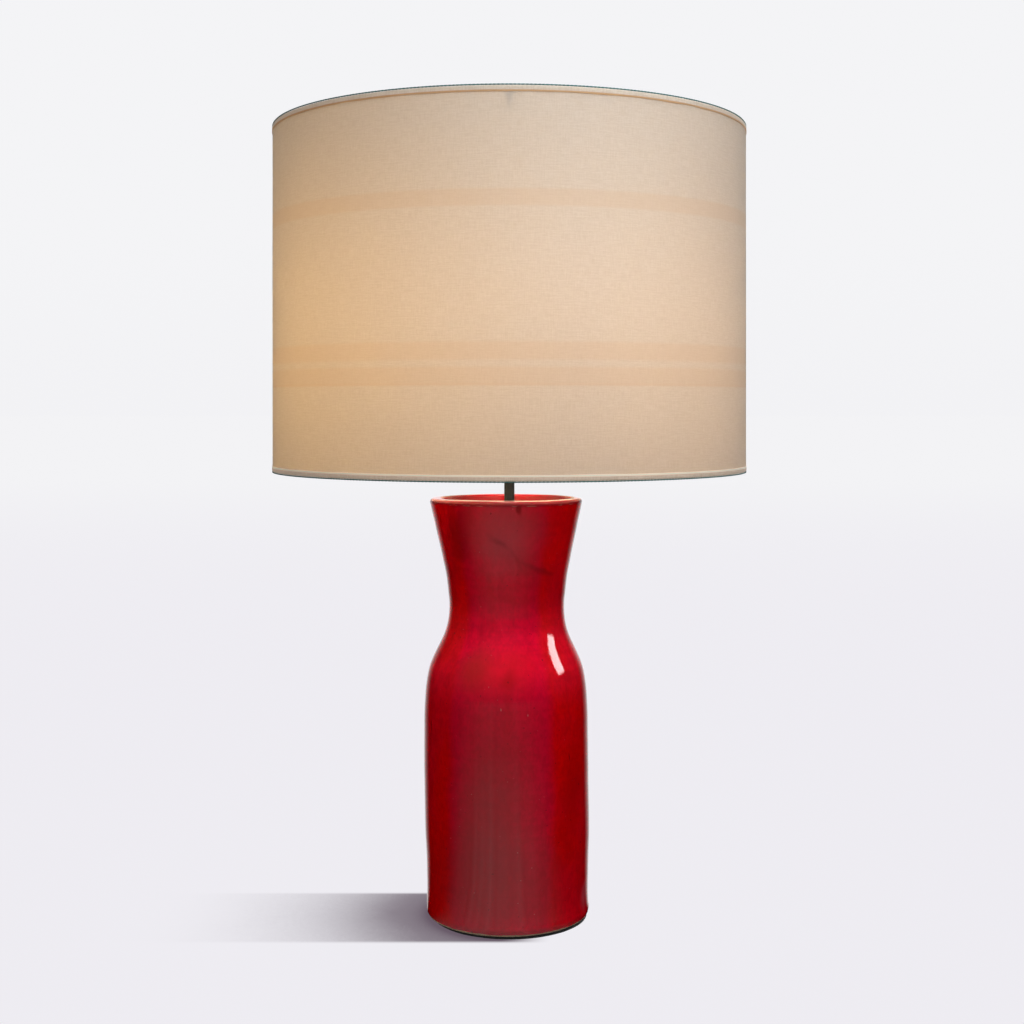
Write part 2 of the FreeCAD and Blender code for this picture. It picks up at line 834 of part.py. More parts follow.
def make_knob(axis_height):
    """Fluted knob with a blind bore for the spindle."""
    knob = tube("switch_knob", None, size.knob_radius, size.knob_length)
    edge = circle_at(size.knob_length)
    add_rounding(knob, knob.Tip, size.knob_edge, edge)
    bore = new_sketch(knob, "XY_Plane")
    draw_circle(bore, size.spindle_radius + size.thread_gap)
    add_pocket(knob, bore, size.knob_bore_depth, backwards=True)
    flute = new_sketch(knob, "XY_Plane")
    draw_circle(flute, size.knob_flute_radius, size.knob_radius + size.knob_flute_radius / 2)
    cut = add_pocket(knob, flute, size.knob_length, backwards=True)
    repeat_round(knob, cut, KNOB_FLUTES)
    place(knob, y=-size.knob_stand_off, z=axis_height, axis=X_AXIS, angle=90)


def repeat_round(body, feature, count):
    """Repeat a cut evenly about the body's Z axis."""
    pattern = body.newObject("PartDesign::PolarPattern", body.Name + "_pattern")
    pattern.Originals = [feature]
    pattern.Axis = (next(i for i in body.Origin.OriginFeatures if i.Role == "Z_Axis"), [""])
    pattern.Angle = 360
    pattern.Occurrences = count
    body.Tip = pattern


def make_bulb():
    """Screw-in bulb: solder tip, glass insulator, cap, envelope, mount and filament."""
    tip_radius, tip_height = size.bulb_tip_radius, size.bulb_tip_height
    tip_bend = (tip_radius * tip_radius + tip_height * tip_height) / (2 * tip_height)
    turned("bulb_contact", [
        (0, 0, tip_bend, "left"),
        (tip_radius, tip_height),
        (0, tip_height),
    ], z=bulb_bottom)
    turned("bulb_insulator", [
        (0, tip_height),
        (tip_radius, tip_height),
        (size.bulb_insulator_radius, bulb_thread_start),
        (0, bulb_thread_start),
    ], z=bulb_bottom)
    neck = size.glass_neck_radius
    cap = [(size.bulb_cap_bore, bulb_thread_start)]
    cap += ribs_up(size.bulb_thread_radius, bulb_thread_start, THREAD_TURNS)
    cap += [
        (size.bulb_thread_radius, bulb_step),
        (size.bulb_collar_radius, bulb_step),
        (size.bulb_collar_radius, bulb_step + size.bulb_collar_height),
        (neck, bulb_step + size.bulb_collar_height),
        (neck, bulb_step),
        (size.bulb_cap_bore, bulb_step),
    ]
    turned("bulb_cap", cap, z=bulb_bottom)
    make_envelope(neck)
    turned("bulb_mount", [
        (0, bulb_step),
        (neck - size.glass_wall - size.thread_gap, bulb_step),
        (size.mount_radius, bulb_step + size.mount_flare_height),
        (size.mount_tip_radius, mount_top),
        (0, mount_top),
    ], z=bulb_bottom)
    make_filament()


def make_envelope(neck):
    """Glass envelope: a ball that runs into its neck through one hollow bend."""
    ball, wall = size.glass_ball_radius, size.glass_wall
    centre = size.bulb_length - ball
    rise = centre - size.glass_neck_top
    bend = (neck * neck + rise * rise - ball * ball) / (2 * (ball - neck))
    across = (neck + bend) / (ball + bend)
    down = rise / (ball + bend)
    turned("bulb_glass", [
        (neck - wall, bulb_step),
        (neck, bulb_step),
        (neck, size.glass_neck_top, bend, "right"),
        (ball * across, centre - ball * down, ball, "left"),
        (0, size.bulb_length),
        (0, size.bulb_length - wall, ball - wall, "right"),
        ((ball - wall) * across, centre - (ball - wall) * down, bend + wall, "left"),
        (neck - wall, size.glass_neck_top),
    ], z=bulb_bottom)


def make_filament():
    """Two splayed lead wires and the filament that lies across their tips."""
    foot = bulb_bottom + mount_top + size.lead_radius * sine(size.lead_splay)
    leads = []
    for side, letter in ((1, "a"), (-1, "b")):
        lead = cylinder("bulb_lead_" + letter, size.lead_radius, size.lead_length,
                        x=side * size.lead_offset, z=foot, axis=Y_AXIS,
                        angle=side * size.lead_splay.value)
        bind(lead, "Placement.Rotation.Angle", side * size.lead_splay)
        leads.append(lead)
    group("bulb_leads", leads)
    half = size.lead_offset + size.lead_length * sine(size.lead_splay)
    tips = size.lead_length * cosine(size.lead_splay)
    tips = tips + size.lead_radius * sine(size.lead_splay) + size.filament_radius
    filament = cylinder("bulb_filament", size.filament_radius, 2 * half,
                        x=-half, z=foot + tips, axis=Y_AXIS, angle=90)
    keep(filament, "bulb_filament")


def make_harp():
    """Harp: one bent wire, its top block and the ferrules that lock it to the posts."""
    leg, belly, straight = size.harp_leg, size.harp_belly, size.harp_leg_straight
    swell = belly - leg
    rise = size.harp_swell_height
    bend = (rise * rise + swell * swell) / (4 * swell)
    middle, halfway = (leg + belly) / 2, straight + rise / 2
    shoulder = straight + rise
    apex = harp_apex - harp_foot
    crown = apex - belly
    body = new_body("harp_wire")
    spine = new_sketch(body)
    draw_path(spine, [
        (-leg, 0),
        (-leg, straight, bend, "left"),
        (-middle, halfway, bend, "right"),
        (-belly, shoulder),
        (-belly, crown, belly, "right"),
        (0, apex, belly, "right"),
        (belly, crown),
        (belly, shoulder, bend, "right"),
        (middle, halfway, bend, "left"),
        (leg, straight),
        (leg, 0),
    ], closed=False)
    section = new_sketch(body, "XY_Plane")
    draw_circle(section, size.harp_wire_radius, -leg)
    add_pipe(body, section, spine)
    place(body, z=harp_foot)

    height = size.harp_top_below + size.harp_top_above
    block = cylinder("harp_top_bar", size.harp_top_radius, height)
    channel = doc.addObject("Part::Torus", "harp_top_channel")
    bind(channel, "Radius1", belly)
    bind(channel, "Radius2", size.harp_wire_radius + size.harp_channel_gap)
    place(channel, z=size.harp_top_below - belly, axis=X_AXIS, angle=90)
    depth = size.stud_shank_length + size.thread_gap
    bore = cylinder("harp_top_bore", size.stud_shank_radius + size.running_gap, depth,
                    z=height - depth)
    drilled = doc.addObject("Part::Cut", "harp_top_drilled")
    drilled.Base, drilled.Tool = block, bore
    top = keep(doc.addObject("Part::Cut", "harp_top"), "harp_top")
    top.Base, top.Tool = drilled, channel
    place(top, z=harp_top_bottom)

    bore_radius = size.harp_wire_radius + size.ferrule_gap
    for name, side in (("ferrule_left", -1), ("ferrule_right", 1)):
        tube(name, bore_radius, size.ferrule_radius, size.ferrule_height,
             x=size.harp_leg * side, z=ledge_top)


def add_pipe(body, section, spine):
    """Draw a section along a sketched path."""
    pipe = body.newObject("PartDesign::AdditivePipe", body.Name + "_pipe")
    pipe.Profile = section
    pipe.Spine = spine
    return pipe


def make_stud_and_finial():
    """Swivel stud in the harp's top block, and the finial that screws on to it."""
    shank, flange = size.stud_shank_length, size.stud_flange_thickness
    turned("swivel_stud", [
        (0, 0),
        (size.stud_shank_radius, 0),
        (size.stud_shank_radius, shank),
        (size.stud_flange_radius, shank),
        (size.stud_flange_radius, shank + flange),
        (size.stud_radius, shank + flange),
        (size.stud_radius, shank + flange + size.stud_length),
        (0, shank + flange + size.stud_length),
    ], z=stud_seat - shank)
    bore = size.stud_radius + size.running_gap
    neck, ball = size.finial_neck_radius, size.finial_ball_radius
    ball_start = size.finial_height - ball - root(ball * ball - neck * neck)
    turned("finial", [
        (bore, 0),
        (size.finial_base_radius, 0),
        (size.finial_base_radius, size.finial_base_height),
        (neck, size.finial_base_height),
        (neck, ball_start, ball, "left"),
        (0, size.finial_height),
        (0, size.finial_bore_depth),
        (bore, size.finial_bore_depth),
    ], z=shade_seat + size.hub_thickness)


def make_shade_frame():
    """Hub, arms and the two wire rings of the shade."""
    hub = tube("spider_hub", size.hub_bore, size.hub_radius, size.hub_thickness)
    start = size.hub_radius - size.hub_socket_depth
    socket = new_sketch(hub, "XZ_Plane", -start)
    draw_circle(socket, size.arm_radius + size.arm_gap, 0, size.hub_thickness / 2)
    cut = add_pocket(hub, socket, size.hub_radius)
    repeat_round(hub, cut, SHADE_ARMS)
    place(hub, z=shade_seat, axis=Z_AXIS, angle=SPIDER_ANGLE)
    for number in range(SHADE_ARMS):
        arm = new_body(f"spider_arm_{number + 1}")
        spine = new_sketch(arm, "YZ_Plane")
        draw_path(spine, [
            (start, 0),
            (ring_centre - size.arm_bend, 0, size.arm_bend, "left"),
            (ring_centre, size.arm_bend),
            (ring_centre, size.arm_rise),
        ], closed=False)
        section = new_sketch(arm, "XZ_Plane", -start)
        draw_circle(section, size.arm_radius)
        add_pipe(arm, section, spine)
        place(arm, z=shade_seat + size.hub_thickness / 2, axis=Z_AXIS,
              angle=SPIDER_ANGLE + number * 360 / SHADE_ARMS)
    wire_ring("top_ring", ring_centre, size.ring_radius, top_ring_height)
    bottom_ring_height = laminate_bottom + size.ring_radius
    wire_ring("bottom_ring", ring_centre, size.ring_radius, bottom_ring_height)


def make_liner(drop, degrees):
    """Stiff liner, whose bore is drawn in arcs so that the seam tape has a face of its own."""
    liner = new_body("shade_liner")
    outline = new_sketch(liner, "XY_Plane")
    draw_circle(outline, liner_radius)
    angles = [turn + SEAM_ANGLE for turn in (-degrees / 2, degrees / 2, 120, 240)]
    draw_path(outline, [
        (liner_bore * cosine(angle), liner_bore * sine(angle), liner_bore, "left")
        for angle in map(as_size, angles)
    ])
    add_pad(liner, outline, drop)
    place(liner, z=laminate_bottom)


def make_drum():
    """Drum: stiff liner, fabric, seam tape inside the back, hems and edge piping."""
    drop = laminate_top - laminate_bottom
    degrees = size.seam_width / liner_bore * math.degrees(1)
    make_liner(drop, degrees)
    tube("shade_fabric", liner_radius, fabric_radius, drop, z=laminate_bottom)

    tape = new_body("shade_seam_tape")
    strip = new_sketch(tape)
    glued = liner_bore - size.seam_gap
    ring = 2 * size.ring_radius + size.ring_gap
    draw_box(strip, glued - size.seam_thickness, glued, ring, drop - ring)
    add_turning(tape, "Revolution", strip, degrees)
    place(tape, z=laminate_bottom, axis=Z_AXIS, angle=SEAM_ANGLE)

    for name, height, angle in (("top_hem", laminate_top, 0), ("bottom_hem", laminate_bottom, 180)):
        hem = size.hem_thickness
        inner = ring_centre - size.ring_radius - size.ring_gap - hem
        turned(name, [
            (fabric_radius, hem - size.hem_height),
            (size.shade_radius, hem - size.hem_height),
            (size.shade_radius, hem),
            (inner, hem),
            (inner, -size.ring_radius),
            (inner + hem, -size.ring_radius),
            (inner + hem, 0),
            (fabric_radius, 0),
        ], z=height, axis=X_AXIS, angle=angle)
    edge = size.shade_radius - size.piping_radius
    wire_ring("top_piping", edge, size.piping_radius, shade_top - size.piping_radius)
    wire_ring("bottom_piping", edge, size.piping_radius, shade_bottom + size.piping_radius)


make_vase()
make_foot()
make_tube()
make_neck_disc()
make_saddle()
make_lampholder()
make_switch()
make_bulb()
make_harp()
make_stud_and_finial()
make_shade_frame()
make_drum()
doc.recompute()

for thing in doc.Objects:
    if "Invalid" in thing.State or "Error" in thing.State:
        raise RuntimeError(f"{thing.Name} failed: {thing.State}")
for part in sub_parts:
    if part.Shape.isNull() or not part.Shape.isValid() or part.Shape.Volume <= 0:
        raise RuntimeError(f"{part.Label} has no valid solid")

os.makedirs("parts", exist_ok=True)
for part in sub_parts:
    part.Shape.exportStep(f"parts/{part.Label}.step")
    print(f"{part.Label}: {part.Shape.Volume:.1f} mm3")
print(f"{len(sub_parts)} sub-parts; total height {shade_top.value:.2f} mm")
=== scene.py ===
import math

import bmesh
import bpy
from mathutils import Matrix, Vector, noise


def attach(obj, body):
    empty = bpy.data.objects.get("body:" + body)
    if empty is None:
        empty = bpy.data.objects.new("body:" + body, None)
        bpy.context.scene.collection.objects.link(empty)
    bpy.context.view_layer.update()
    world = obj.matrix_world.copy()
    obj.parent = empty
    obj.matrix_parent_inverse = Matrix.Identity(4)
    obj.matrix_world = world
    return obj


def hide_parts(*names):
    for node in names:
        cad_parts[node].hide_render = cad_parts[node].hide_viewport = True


# The lamp stands on its felt at the origin, and its front faces -Y. Sizes are written in
# millimetres, meshes are in metres, and angles round the lamp run from the front to the right.
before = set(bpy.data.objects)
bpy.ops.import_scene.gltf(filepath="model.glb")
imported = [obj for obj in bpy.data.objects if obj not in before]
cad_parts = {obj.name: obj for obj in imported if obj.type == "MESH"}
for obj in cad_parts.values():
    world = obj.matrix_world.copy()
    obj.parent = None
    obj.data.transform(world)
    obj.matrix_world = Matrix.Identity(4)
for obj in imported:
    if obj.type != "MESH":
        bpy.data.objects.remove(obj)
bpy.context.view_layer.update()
scene = bpy.context.scene
scene.view_settings.view_transform = "Standard"


# Vase: one thrown stoneware pot with a waist and an open, flared neck. It is dipped in a
# glossy red glaze, which breaks pale on the lip and stops in a roll above the bare foot.

MM = 0.001
VASE_GAUGE = [
    # height, radius of the outside
    (3.0, 77.4), (5.3, 78.4), (24.7, 78.4), (44, 78.6), (60, 79.0), (71.5, 79.4), (83, 79.8),
    (100, 80.0), (150, 80.0), (190, 80.0), (200, 79.7), (211, 79.1), (219, 78.4), (227, 77.4),
    (235, 76.0), (242.6, 74.0), (250.3, 71.0), (258, 67.4), (266, 63.5), (273.5, 60.3),
    (281, 58.0), (289, 56.6), (297, 56.0), (305, 56.1), (312, 56.8), (320, 57.7), (328, 58.8),
    (336, 60.2), (344, 61.8), (351.5, 63.3), (359, 65.0), (367, 66.8), (375, 68.6),
    (383, 70.3), (390.5, 71.9), (398, 73.4), (401, 74.0), (405.3, 74.9),
]
VASE_LEAN = [
    # height, sideways shift of the outside
    (0, -1.6), (75, -1.9), (150, -3.0), (240, -3.2), (297, -2.6), (345, -2.6), (405, -3.3),
]
MOUTH_LEAN = -1.6
VASE_WALL = 9.2
OUTSIDE_START = 5.3
OUTSIDE_STEP = 1.9
GLAZE_ROLL = 8.6
LIP_TOP = 405.3
LIP_BEND = 3.2
LIP_INNER_BEND = 2.6
FOOT_UNDERSIDE = 3.0
FOOT_EDGE = 76.4
FOOT_RING_INSIDE = 62.0
FOOT_RECESS_TOP = 25.0
INSIDE_TOP = 396
INSIDE_STEP = 4
INSIDE_FLOOR = 37
INSIDE_BEND = 11
TUBE_HOLE = 5.3
INLET_HEIGHT = 13.0
INLET_HOLE = 4.75


def read_gauge(gauge, height):
    """Value at a height, eased smoothly between the gauge's readings."""
    if height <= gauge[0][0]:
        return gauge[0][1]
    for index in range(len(gauge) - 1):
        low, high = gauge[index], gauge[index + 1]
        if height <= high[0]:
            before = gauge[max(index - 1, 0)]
            after = gauge[min(index + 2, len(gauge) - 1)]
            span = high[0] - low[0]
            part = (height - low[0]) / span
            rise_in = (high[1] - before[1]) / (high[0] - before[0]) * span
            rise_out = (after[1] - low[1]) / (after[0] - low[0]) * span
            square, cube = part * part, part * part * part
            return ((2 * cube - 3 * square + 1) * low[1] + (cube - 2 * square + part) * rise_in
                    + (3 * square - 2 * cube) * high[1] + (cube - square) * rise_out)
    return gauge[-1][1]


def ease(value, low, high):
    """0 below low, 1 above high, and a smooth step between them."""
    part = min(max((value - low) / (high - low), 0.0), 1.0)
    return part * part * (3 - 2 * part)


def round_place(angle, radius, height):
    """Point at a radius and a height, at an angle from the front."""
    return radius * math.sin(angle), -radius * math.cos(angle), height


def turned_piece(name, outline, around=180, move=round_place, sharp=40):
    """A closed outline of radii and heights, turned about the lamp's axis. move gives the
    place of each point from its angle, radius and height."""
    corners = []
    for step in range(around):
        angle = math.tau * step / around
        corners += [Vector(move(angle, radius, height)) * MM for radius, height in outline]
    count = len(outline)
    faces = []
    for step in range(around):
        here, there = step * count, (step + 1) % around * count
        for index in range(count):
            after = (index + 1) % count
            if outline[index][0] == 0 and outline[after][0] == 0:
                continue
            face = [here + index, there + index, there + after, here + after]
            if outline[index][0] == 0:
                face = [index, there + after, here + after]
            elif outline[after][0] == 0:
                face = [here + index, there + index, after]
            faces.append(face)
    return finished_mesh(name, corners, faces, sharp)


def finished_mesh(name, corners, faces, sharp):
    """An object of smooth faces that all look outwards, with edges over sharp degrees crisp."""
    mesh = bpy.data.meshes.new(name)
    mesh.from_pydata(corners, [], faces)
    mesh.validate()
    make_outward(mesh)
    mesh.polygons.foreach_set("use_smooth", [True] * len(mesh.polygons))
    mesh.set_sharp_from_angle(angle=math.radians(sharp))
    piece = bpy.data.objects.new(name, mesh)
    scene.collection.objects.link(piece)
    return piece


def make_outward(mesh):
    """Drop the corners that have no face, and turn the faces outwards."""
    work = bmesh.new()
    work.from_mesh(mesh)
    loose = [corner for corner in work.verts if not corner.link_faces]
    bmesh.ops.delete(work, geom=loose, context="VERTS")
    bmesh.ops.recalc_face_normals(work, faces=work.faces)
    work.to_mesh(mesh)
    work.free()


def bend(radius_at, height_at, bend_radius, start, end, steps):
    """Points of an outline along an arc, its angles in degrees from straight outwards."""
    points = []
    for step in range(steps + 1):
        turn = math.radians(start + (end - start) * step / steps)
        points.append((radius_at + bend_radius * math.cos(turn),
                       height_at + bend_radius * math.sin(turn)))
    return points


def vase_inside(height):
    """Radius of the inner wall, square to the wall's slope."""
    slope = (read_gauge(VASE_GAUGE, height + 2) - read_gauge(VASE_GAUGE, height - 2)) / 4
    return read_gauge(VASE_GAUGE, height) - VASE_WALL * math.sqrt(1 + slope * slope)


def noise_round(angle, ring, level):
    """Smooth noise round the lamp, busier on a larger ring. Each level has a run of its own."""
    return noise.noise(Vector((math.cos(angle) * ring, math.sin(angle) * ring, level)))


def thrown(angle, radius, height):
    """Where the potter's hand left each point: leaning a little, ribbed and never quite round."""
    depth = (read_gauge(VASE_GAUGE, height) - radius) / VASE_WALL
    outside = 1 - ease(depth, 0.1, 0.9)
    lean_outside = read_gauge(VASE_LEAN, height)
    lean_inside = MOUTH_LEAN * ease(height, 352, 402)
    round_spot = Vector((math.cos(angle), math.sin(angle), 0)) * 0.8
    slow = noise.noise(round_spot + Vector((3, 0, height / 55)))
    rib = noise.noise(Vector((0, 0.15 * math.sin(angle), height / 3.4 + angle / math.tau)))
    wide_rib = noise.noise(Vector((5, 0.3 * math.cos(angle), height / 17)))
    radius += outside * (0.3 * slow + 0.05 * rib + 0.12 * wide_rib) * ease(height, 6, 16)
    roll = math.exp(-((height - GLAZE_ROLL) / 2.4) ** 2) * outside
    radius += roll * (0.35 + 0.35 * noise_round(angle, 1.7, 9) + 0.25 * math.sin(angle))
    uneven_lip = 0.5 * noise_round(angle, 1.3, 4) - 0.7 + 0.7 * math.cos(angle)
    height += uneven_lip * ease(height, 380, 404)
    x, y, z = round_place(angle, radius, height)
    return x + lean_outside * outside + lean_inside * (1 - outside), y, z


lip_start = LIP_TOP - LIP_BEND
outside_count = int((lip_start - OUTSIDE_START) / OUTSIDE_STEP) + 1
outside_heights = [OUTSIDE_START + step * OUTSIDE_STEP for step in range(outside_count)]
lip_inside = vase_inside(LIP_TOP - 8) + 2.9
inside_foot = INSIDE_FLOOR + INSIDE_BEND
inside_heights = range(INSIDE_TOP, inside_foot - 1, -INSIDE_STEP)
outline = [(FOOT_RING_INSIDE + 1.0, FOOT_UNDERSIDE), (FOOT_EDGE, FOOT_UNDERSIDE),
           (FOOT_EDGE + 1.0, FOOT_UNDERSIDE + 0.5), (FOOT_EDGE + 1.5, FOOT_UNDERSIDE + 1.4)]
outline += [(read_gauge(VASE_GAUGE, height), height) for height in outside_heights]
outline += bend(read_gauge(VASE_GAUGE, lip_start) - LIP_BEND, lip_start, LIP_BEND, 0, 82, 10)
outline += bend(lip_inside, LIP_TOP + 0.4 - LIP_INNER_BEND, LIP_INNER_BEND, 86, 165, 8)
outline += [(vase_inside(height), height) for height in inside_heights]
outline += bend(vase_inside(inside_foot) - INSIDE_BEND, inside_foot, INSIDE_BEND, 0, -90, 8)
outline += [(TUBE_HOLE, INSIDE_FLOOR), (TUBE_HOLE, FOOT_RECESS_TOP)]
outline += [(FOOT_RING_INSIDE - 2, FOOT_RECESS_TOP), (FOOT_RING_INSIDE, FOOT_RECESS_TOP - 2),
            (FOOT_RING_INSIDE, FOOT_UNDERSIDE + 1.0)]
vase = turned_piece("glazed_vase", outline, around=240, move=thrown, sharp=50)


def drill(piece, radius, start, end, height, sides=32):
    """Cut a round hole through the back wall, from y = start to y = end."""
    turns = [math.tau * step / sides for step in range(sides)]
    ring = [(math.cos(turn) * radius, math.sin(turn) * radius) for turn in turns]
    corners = [Vector((x, y, height + z)) * MM for y in (start, end) for x, z in ring]
    faces = [list(range(sides)), list(range(sides, 2 * sides))]
    for step in range(sides):
        after = (step + 1) % sides
        faces.append([step, after, sides + after, sides + step])
    cutter = finished_mesh("drill", corners, faces, 40)
    hole = piece.modifiers.new("hole", "BOOLEAN")
    hole.object = cutter
    hole.operation = "DIFFERENCE"
    graph = bpy.context.evaluated_depsgraph_get()
    piece.data = bpy.data.meshes.new_from_object(piece.evaluated_get(graph))
    piece.modifiers.clear()
    bpy.data.objects.remove(cutter)


drill(vase, INLET_HOLE, start=55, end=90, height=INLET_HEIGHT)


class Finish:
    """A surface finish, drawn with nodes in the piece's own coordinates."""

    def __init__(self, name, roughness=0.5, metallic=0.0):
        self.material = bpy.data.materials.new(name)
        self.material.use_nodes = True
        self.tree = self.material.node_tree
        self.shader = self.tree.nodes["Principled BSDF"]
        self.shader.inputs["Roughness"].default_value = roughness
        self.shader.inputs["Metallic"].default_value = metallic
        self.place = self.add("TexCoord", {}, "Object")

    def add(self, kind, inputs, output=0, **settings):
        """Add a node, feed its inputs with values or other nodes' outputs, give one output."""
        node = self.tree.nodes.new("ShaderNode" + kind)
        for name, value in settings.items():
            setattr(node, name, value)
        for name, value in inputs.items():
            self.feed(node.inputs[name], value)
        return node.outputs[output]

    def feed(self, socket, value):
        if isinstance(value, bpy.types.NodeSocket):
            self.tree.links.new(value, socket)
        else:
            socket.default_value = value

    def set(self, **inputs):
        """Feed the shader. Underscores stand for the spaces in a socket's name."""
        for name, value in inputs.items():
            self.feed(self.shader.inputs[name.replace("_", " ")], value)

    def math(self, operation, first, second=0.0):
        return self.add("Math", {0: first, 1: second}, operation=operation)

    def plus(self, first, second):
        return self.math("ADD", first, second)

    def times(self, *values):
        """The product of all the values, from left to right."""
        product = values[0]
        for value in values[1:]:
            product = self.math("MULTIPLY", product, value)
        return product

    def stretch(self, vector, factors):
        return self.add("VectorMath", {0: vector, 1: factors}, operation="MULTIPLY")

    def length(self, vector):
        return self.add("VectorMath", {0: vector}, "Value", operation="LENGTH")

    def split(self, vector):
        """The three parts of a vector."""
        node = self.tree.nodes.new("ShaderNodeSeparateXYZ")
        self.feed(node.inputs[0], vector)
        return node.outputs[:]

    def cloud(self, scale, detail, vector=None):
        """Soft noise from 0 to 1 in the piece's own place, or along another vector."""
        inputs = {"Vector": vector or self.place, "Scale": scale, "Detail": detail}
        return self.add("TexNoise", inputs)

    def step(self, value, low, high):
        """0 below low and 1 above high, or the other way round where low is the larger."""
        inputs = {"Value": value, "From Min": low, "From Max": high}
        return self.add("MapRange", inputs, interpolation_type="SMOOTHSTEP")

    def mix(self, factor, first, second, blend="MIX"):
        inputs = {0: factor, 6: first, 7: second}
        return self.add("Mix", inputs, 2, data_type="RGBA", blend_type=blend)

    def tinted(self, base, mask, share, tint):
        """The base colour, turned towards a tint by a share of the mask."""
        return self.mix(self.times(mask, share), base, tint)

    def bump(self, height, depth, strength):
        return self.add("Bump", {"Height": height, "Distance": depth, "Strength": strength})

    def unroll(self, radius):
        """Place along the round from the front, and height, both in millimetres."""
        sideways, depth, up = self.split(self.place)
        turn = self.math("ARCTAN2", sideways, self.times(depth, -1.0))
        height = self.times(up, 1 / MM)
        return self.add("CombineXYZ", {0: self.times(turn, radius), 1: height}), height


def colour(red, green, blue):
    return red, green, blue, 1.0


def grained(name, roughness, grain, low, high, relief, kind=Finish, stretched=None):
    """A finish that one fine cloud colours from low to high and also raises. grain is the
    cloud's scale and detail, relief the depth and strength of its bumps."""
    finish = kind(name, roughness=roughness)
    place = finish.stretch(finish.place, stretched) if stretched else None
    cloud = finish.cloud(*grain, place)
    finish.set(Base_Color=finish.mix(cloud, colour(*low), colour(*high)))
    finish.set(Normal=finish.bump(cloud, *relief))
    return finish


GLAZE_RADIUS = 80
NECK_FLARE = 0.2086
NECK_START = 9.6
GLAZE_MARKS = [
    # place along the round, height, half length, half width, slope, softness, colour, strength
    # Partly the glaze's own milky haze and partly a painted reflection, on the front of the neck.
    (-4, 376, 34, 26, 0, 0.9, colour(0.44, 0.048, 0.070), 0.6),
    # Partly a dark smudge and partly painted shade on the left side of the neck.
    (-60, 372, 26, 15, 80, 0.9, colour(0.22, 0.003, 0.006), 0.62),
    (6, 352, 34, 12, -20, 0.9, colour(0.34, 0.020, 0.026), 0.35),
    (-14, 368, 10, 2.2, -35, 0.9, colour(0.12, 0.004, 0.008), 0.40),
    (8, 352, 12, 2.2, -50, 0.9, colour(0.14, 0.004, 0.008), 0.22),
    (42, 341, 22, 2.4, -12, 0.9, colour(0.12, 0.004, 0.008), 0.42),
    (-38, 248, 18, 13, 60, 0.9, colour(0.34, 0.030, 0.020), 0.6),
    # Painted light: a bright patch on the front of the shoulder, where light falls from above.
    (-2, 246, 40, 16, 8, 0.9, colour(0.98, 0.008, 0.024), 0.6),
    (-1, 240, 9, 6, 30, 0.9, colour(0.50, 0.003, 0.006), 0.5),
    (-1, 239.5, 1.0, 0.9, 0, 0.5, colour(0.10, 0.002, 0.003), 0.5),
    (-7, 212.5, 1.3, 0.5, 90, 0.4, colour(0.70, 0.30, 0.28), 0.5),
    (17, 207.5, 1.2, 0.5, 90, 0.4, colour(0.70, 0.30, 0.28), 0.45),
    (-88, 191, 5.0, 0.8, 90, 0.5, colour(0.05, 0.001, 0.001), 0.75),
    (65, 165, 3.6, 0.6, 90, 0.5, colour(0.08, 0.001, 0.001), 0.75),
    (70, 130, 42, 15, 80, 0.9, colour(0.46, 0.0003, 0.001), 0.55),
    (11, 397.6, 5.0, 3.2, 90, 0.5, colour(0.24, 0.0, 0.001), 0.8),
    (97, 25, 11, 7, 80, 0.8, colour(0.60, 0.10, 0.13), 0.5),
    (-18, 110, 72, 26, 86, 0.9, colour(0.40, 0.012, 0.013), 0.7),
    (-14, 45, 50, 40, 0, 0.9, colour(0.42, 0.014, 0.015), 0.6),
    (150, 120, 30, 2.0, 70, 0.7, colour(0.12, 0.001, 0.003), 0.5),
    (-170, 300, 26, 2.0, 35, 0.7, colour(0.12, 0.001, 0.003), 0.5),
]
glaze = Finish("red_glaze")
unrolled, height = glaze.unroll(GLAZE_RADIUS)
from_axis = glaze.length(glaze.stretch(glaze.place, (1 / MM, 1 / MM, 0)))
sway = glaze.add("TexNoise", {"Vector": glaze.place, "Scale": 28.0}, 1)
sway = glaze.add("VectorMath", {0: sway, 1: (0.5, 0.5, 0.5)}, operation="SUBTRACT")
swayed = glaze.add("VectorMath", {0: unrolled, 1: glaze.stretch(sway, (16, 16, 0))}, operation="ADD")

# The red is crimson at the front and deeper at the sides. It is brighter on the shoulder,
# which is painted light falling on it from above.
from_front = glaze.math("ABSOLUTE", glaze.plus(glaze.split(swayed)[0], 8.0))
patches = glaze.times(glaze.step(glaze.cloud(9, 4), 0.42, 0.62), 0.4)
crimson = glaze.math("MAXIMUM", glaze.step(from_front, 60.0, 42.0), patches)
# Painted light: the shoulder's reds are made brighter.
painted_light_on_shoulder = glaze.times(glaze.step(height, 205.0, 250.0), glaze.step(height, 325.0, 275.0))
deep_red = glaze.mix(painted_light_on_shoulder, colour(0.80, 0.0003, 0.001), colour(0.88, 0.008, 0.014))
bright_red = glaze.mix(painted_light_on_shoulder, colour(0.70, 0.001, 0.025), colour(0.93, 0.004, 0.044))
body_red = glaze.mix(crimson, deep_red, bright_red)

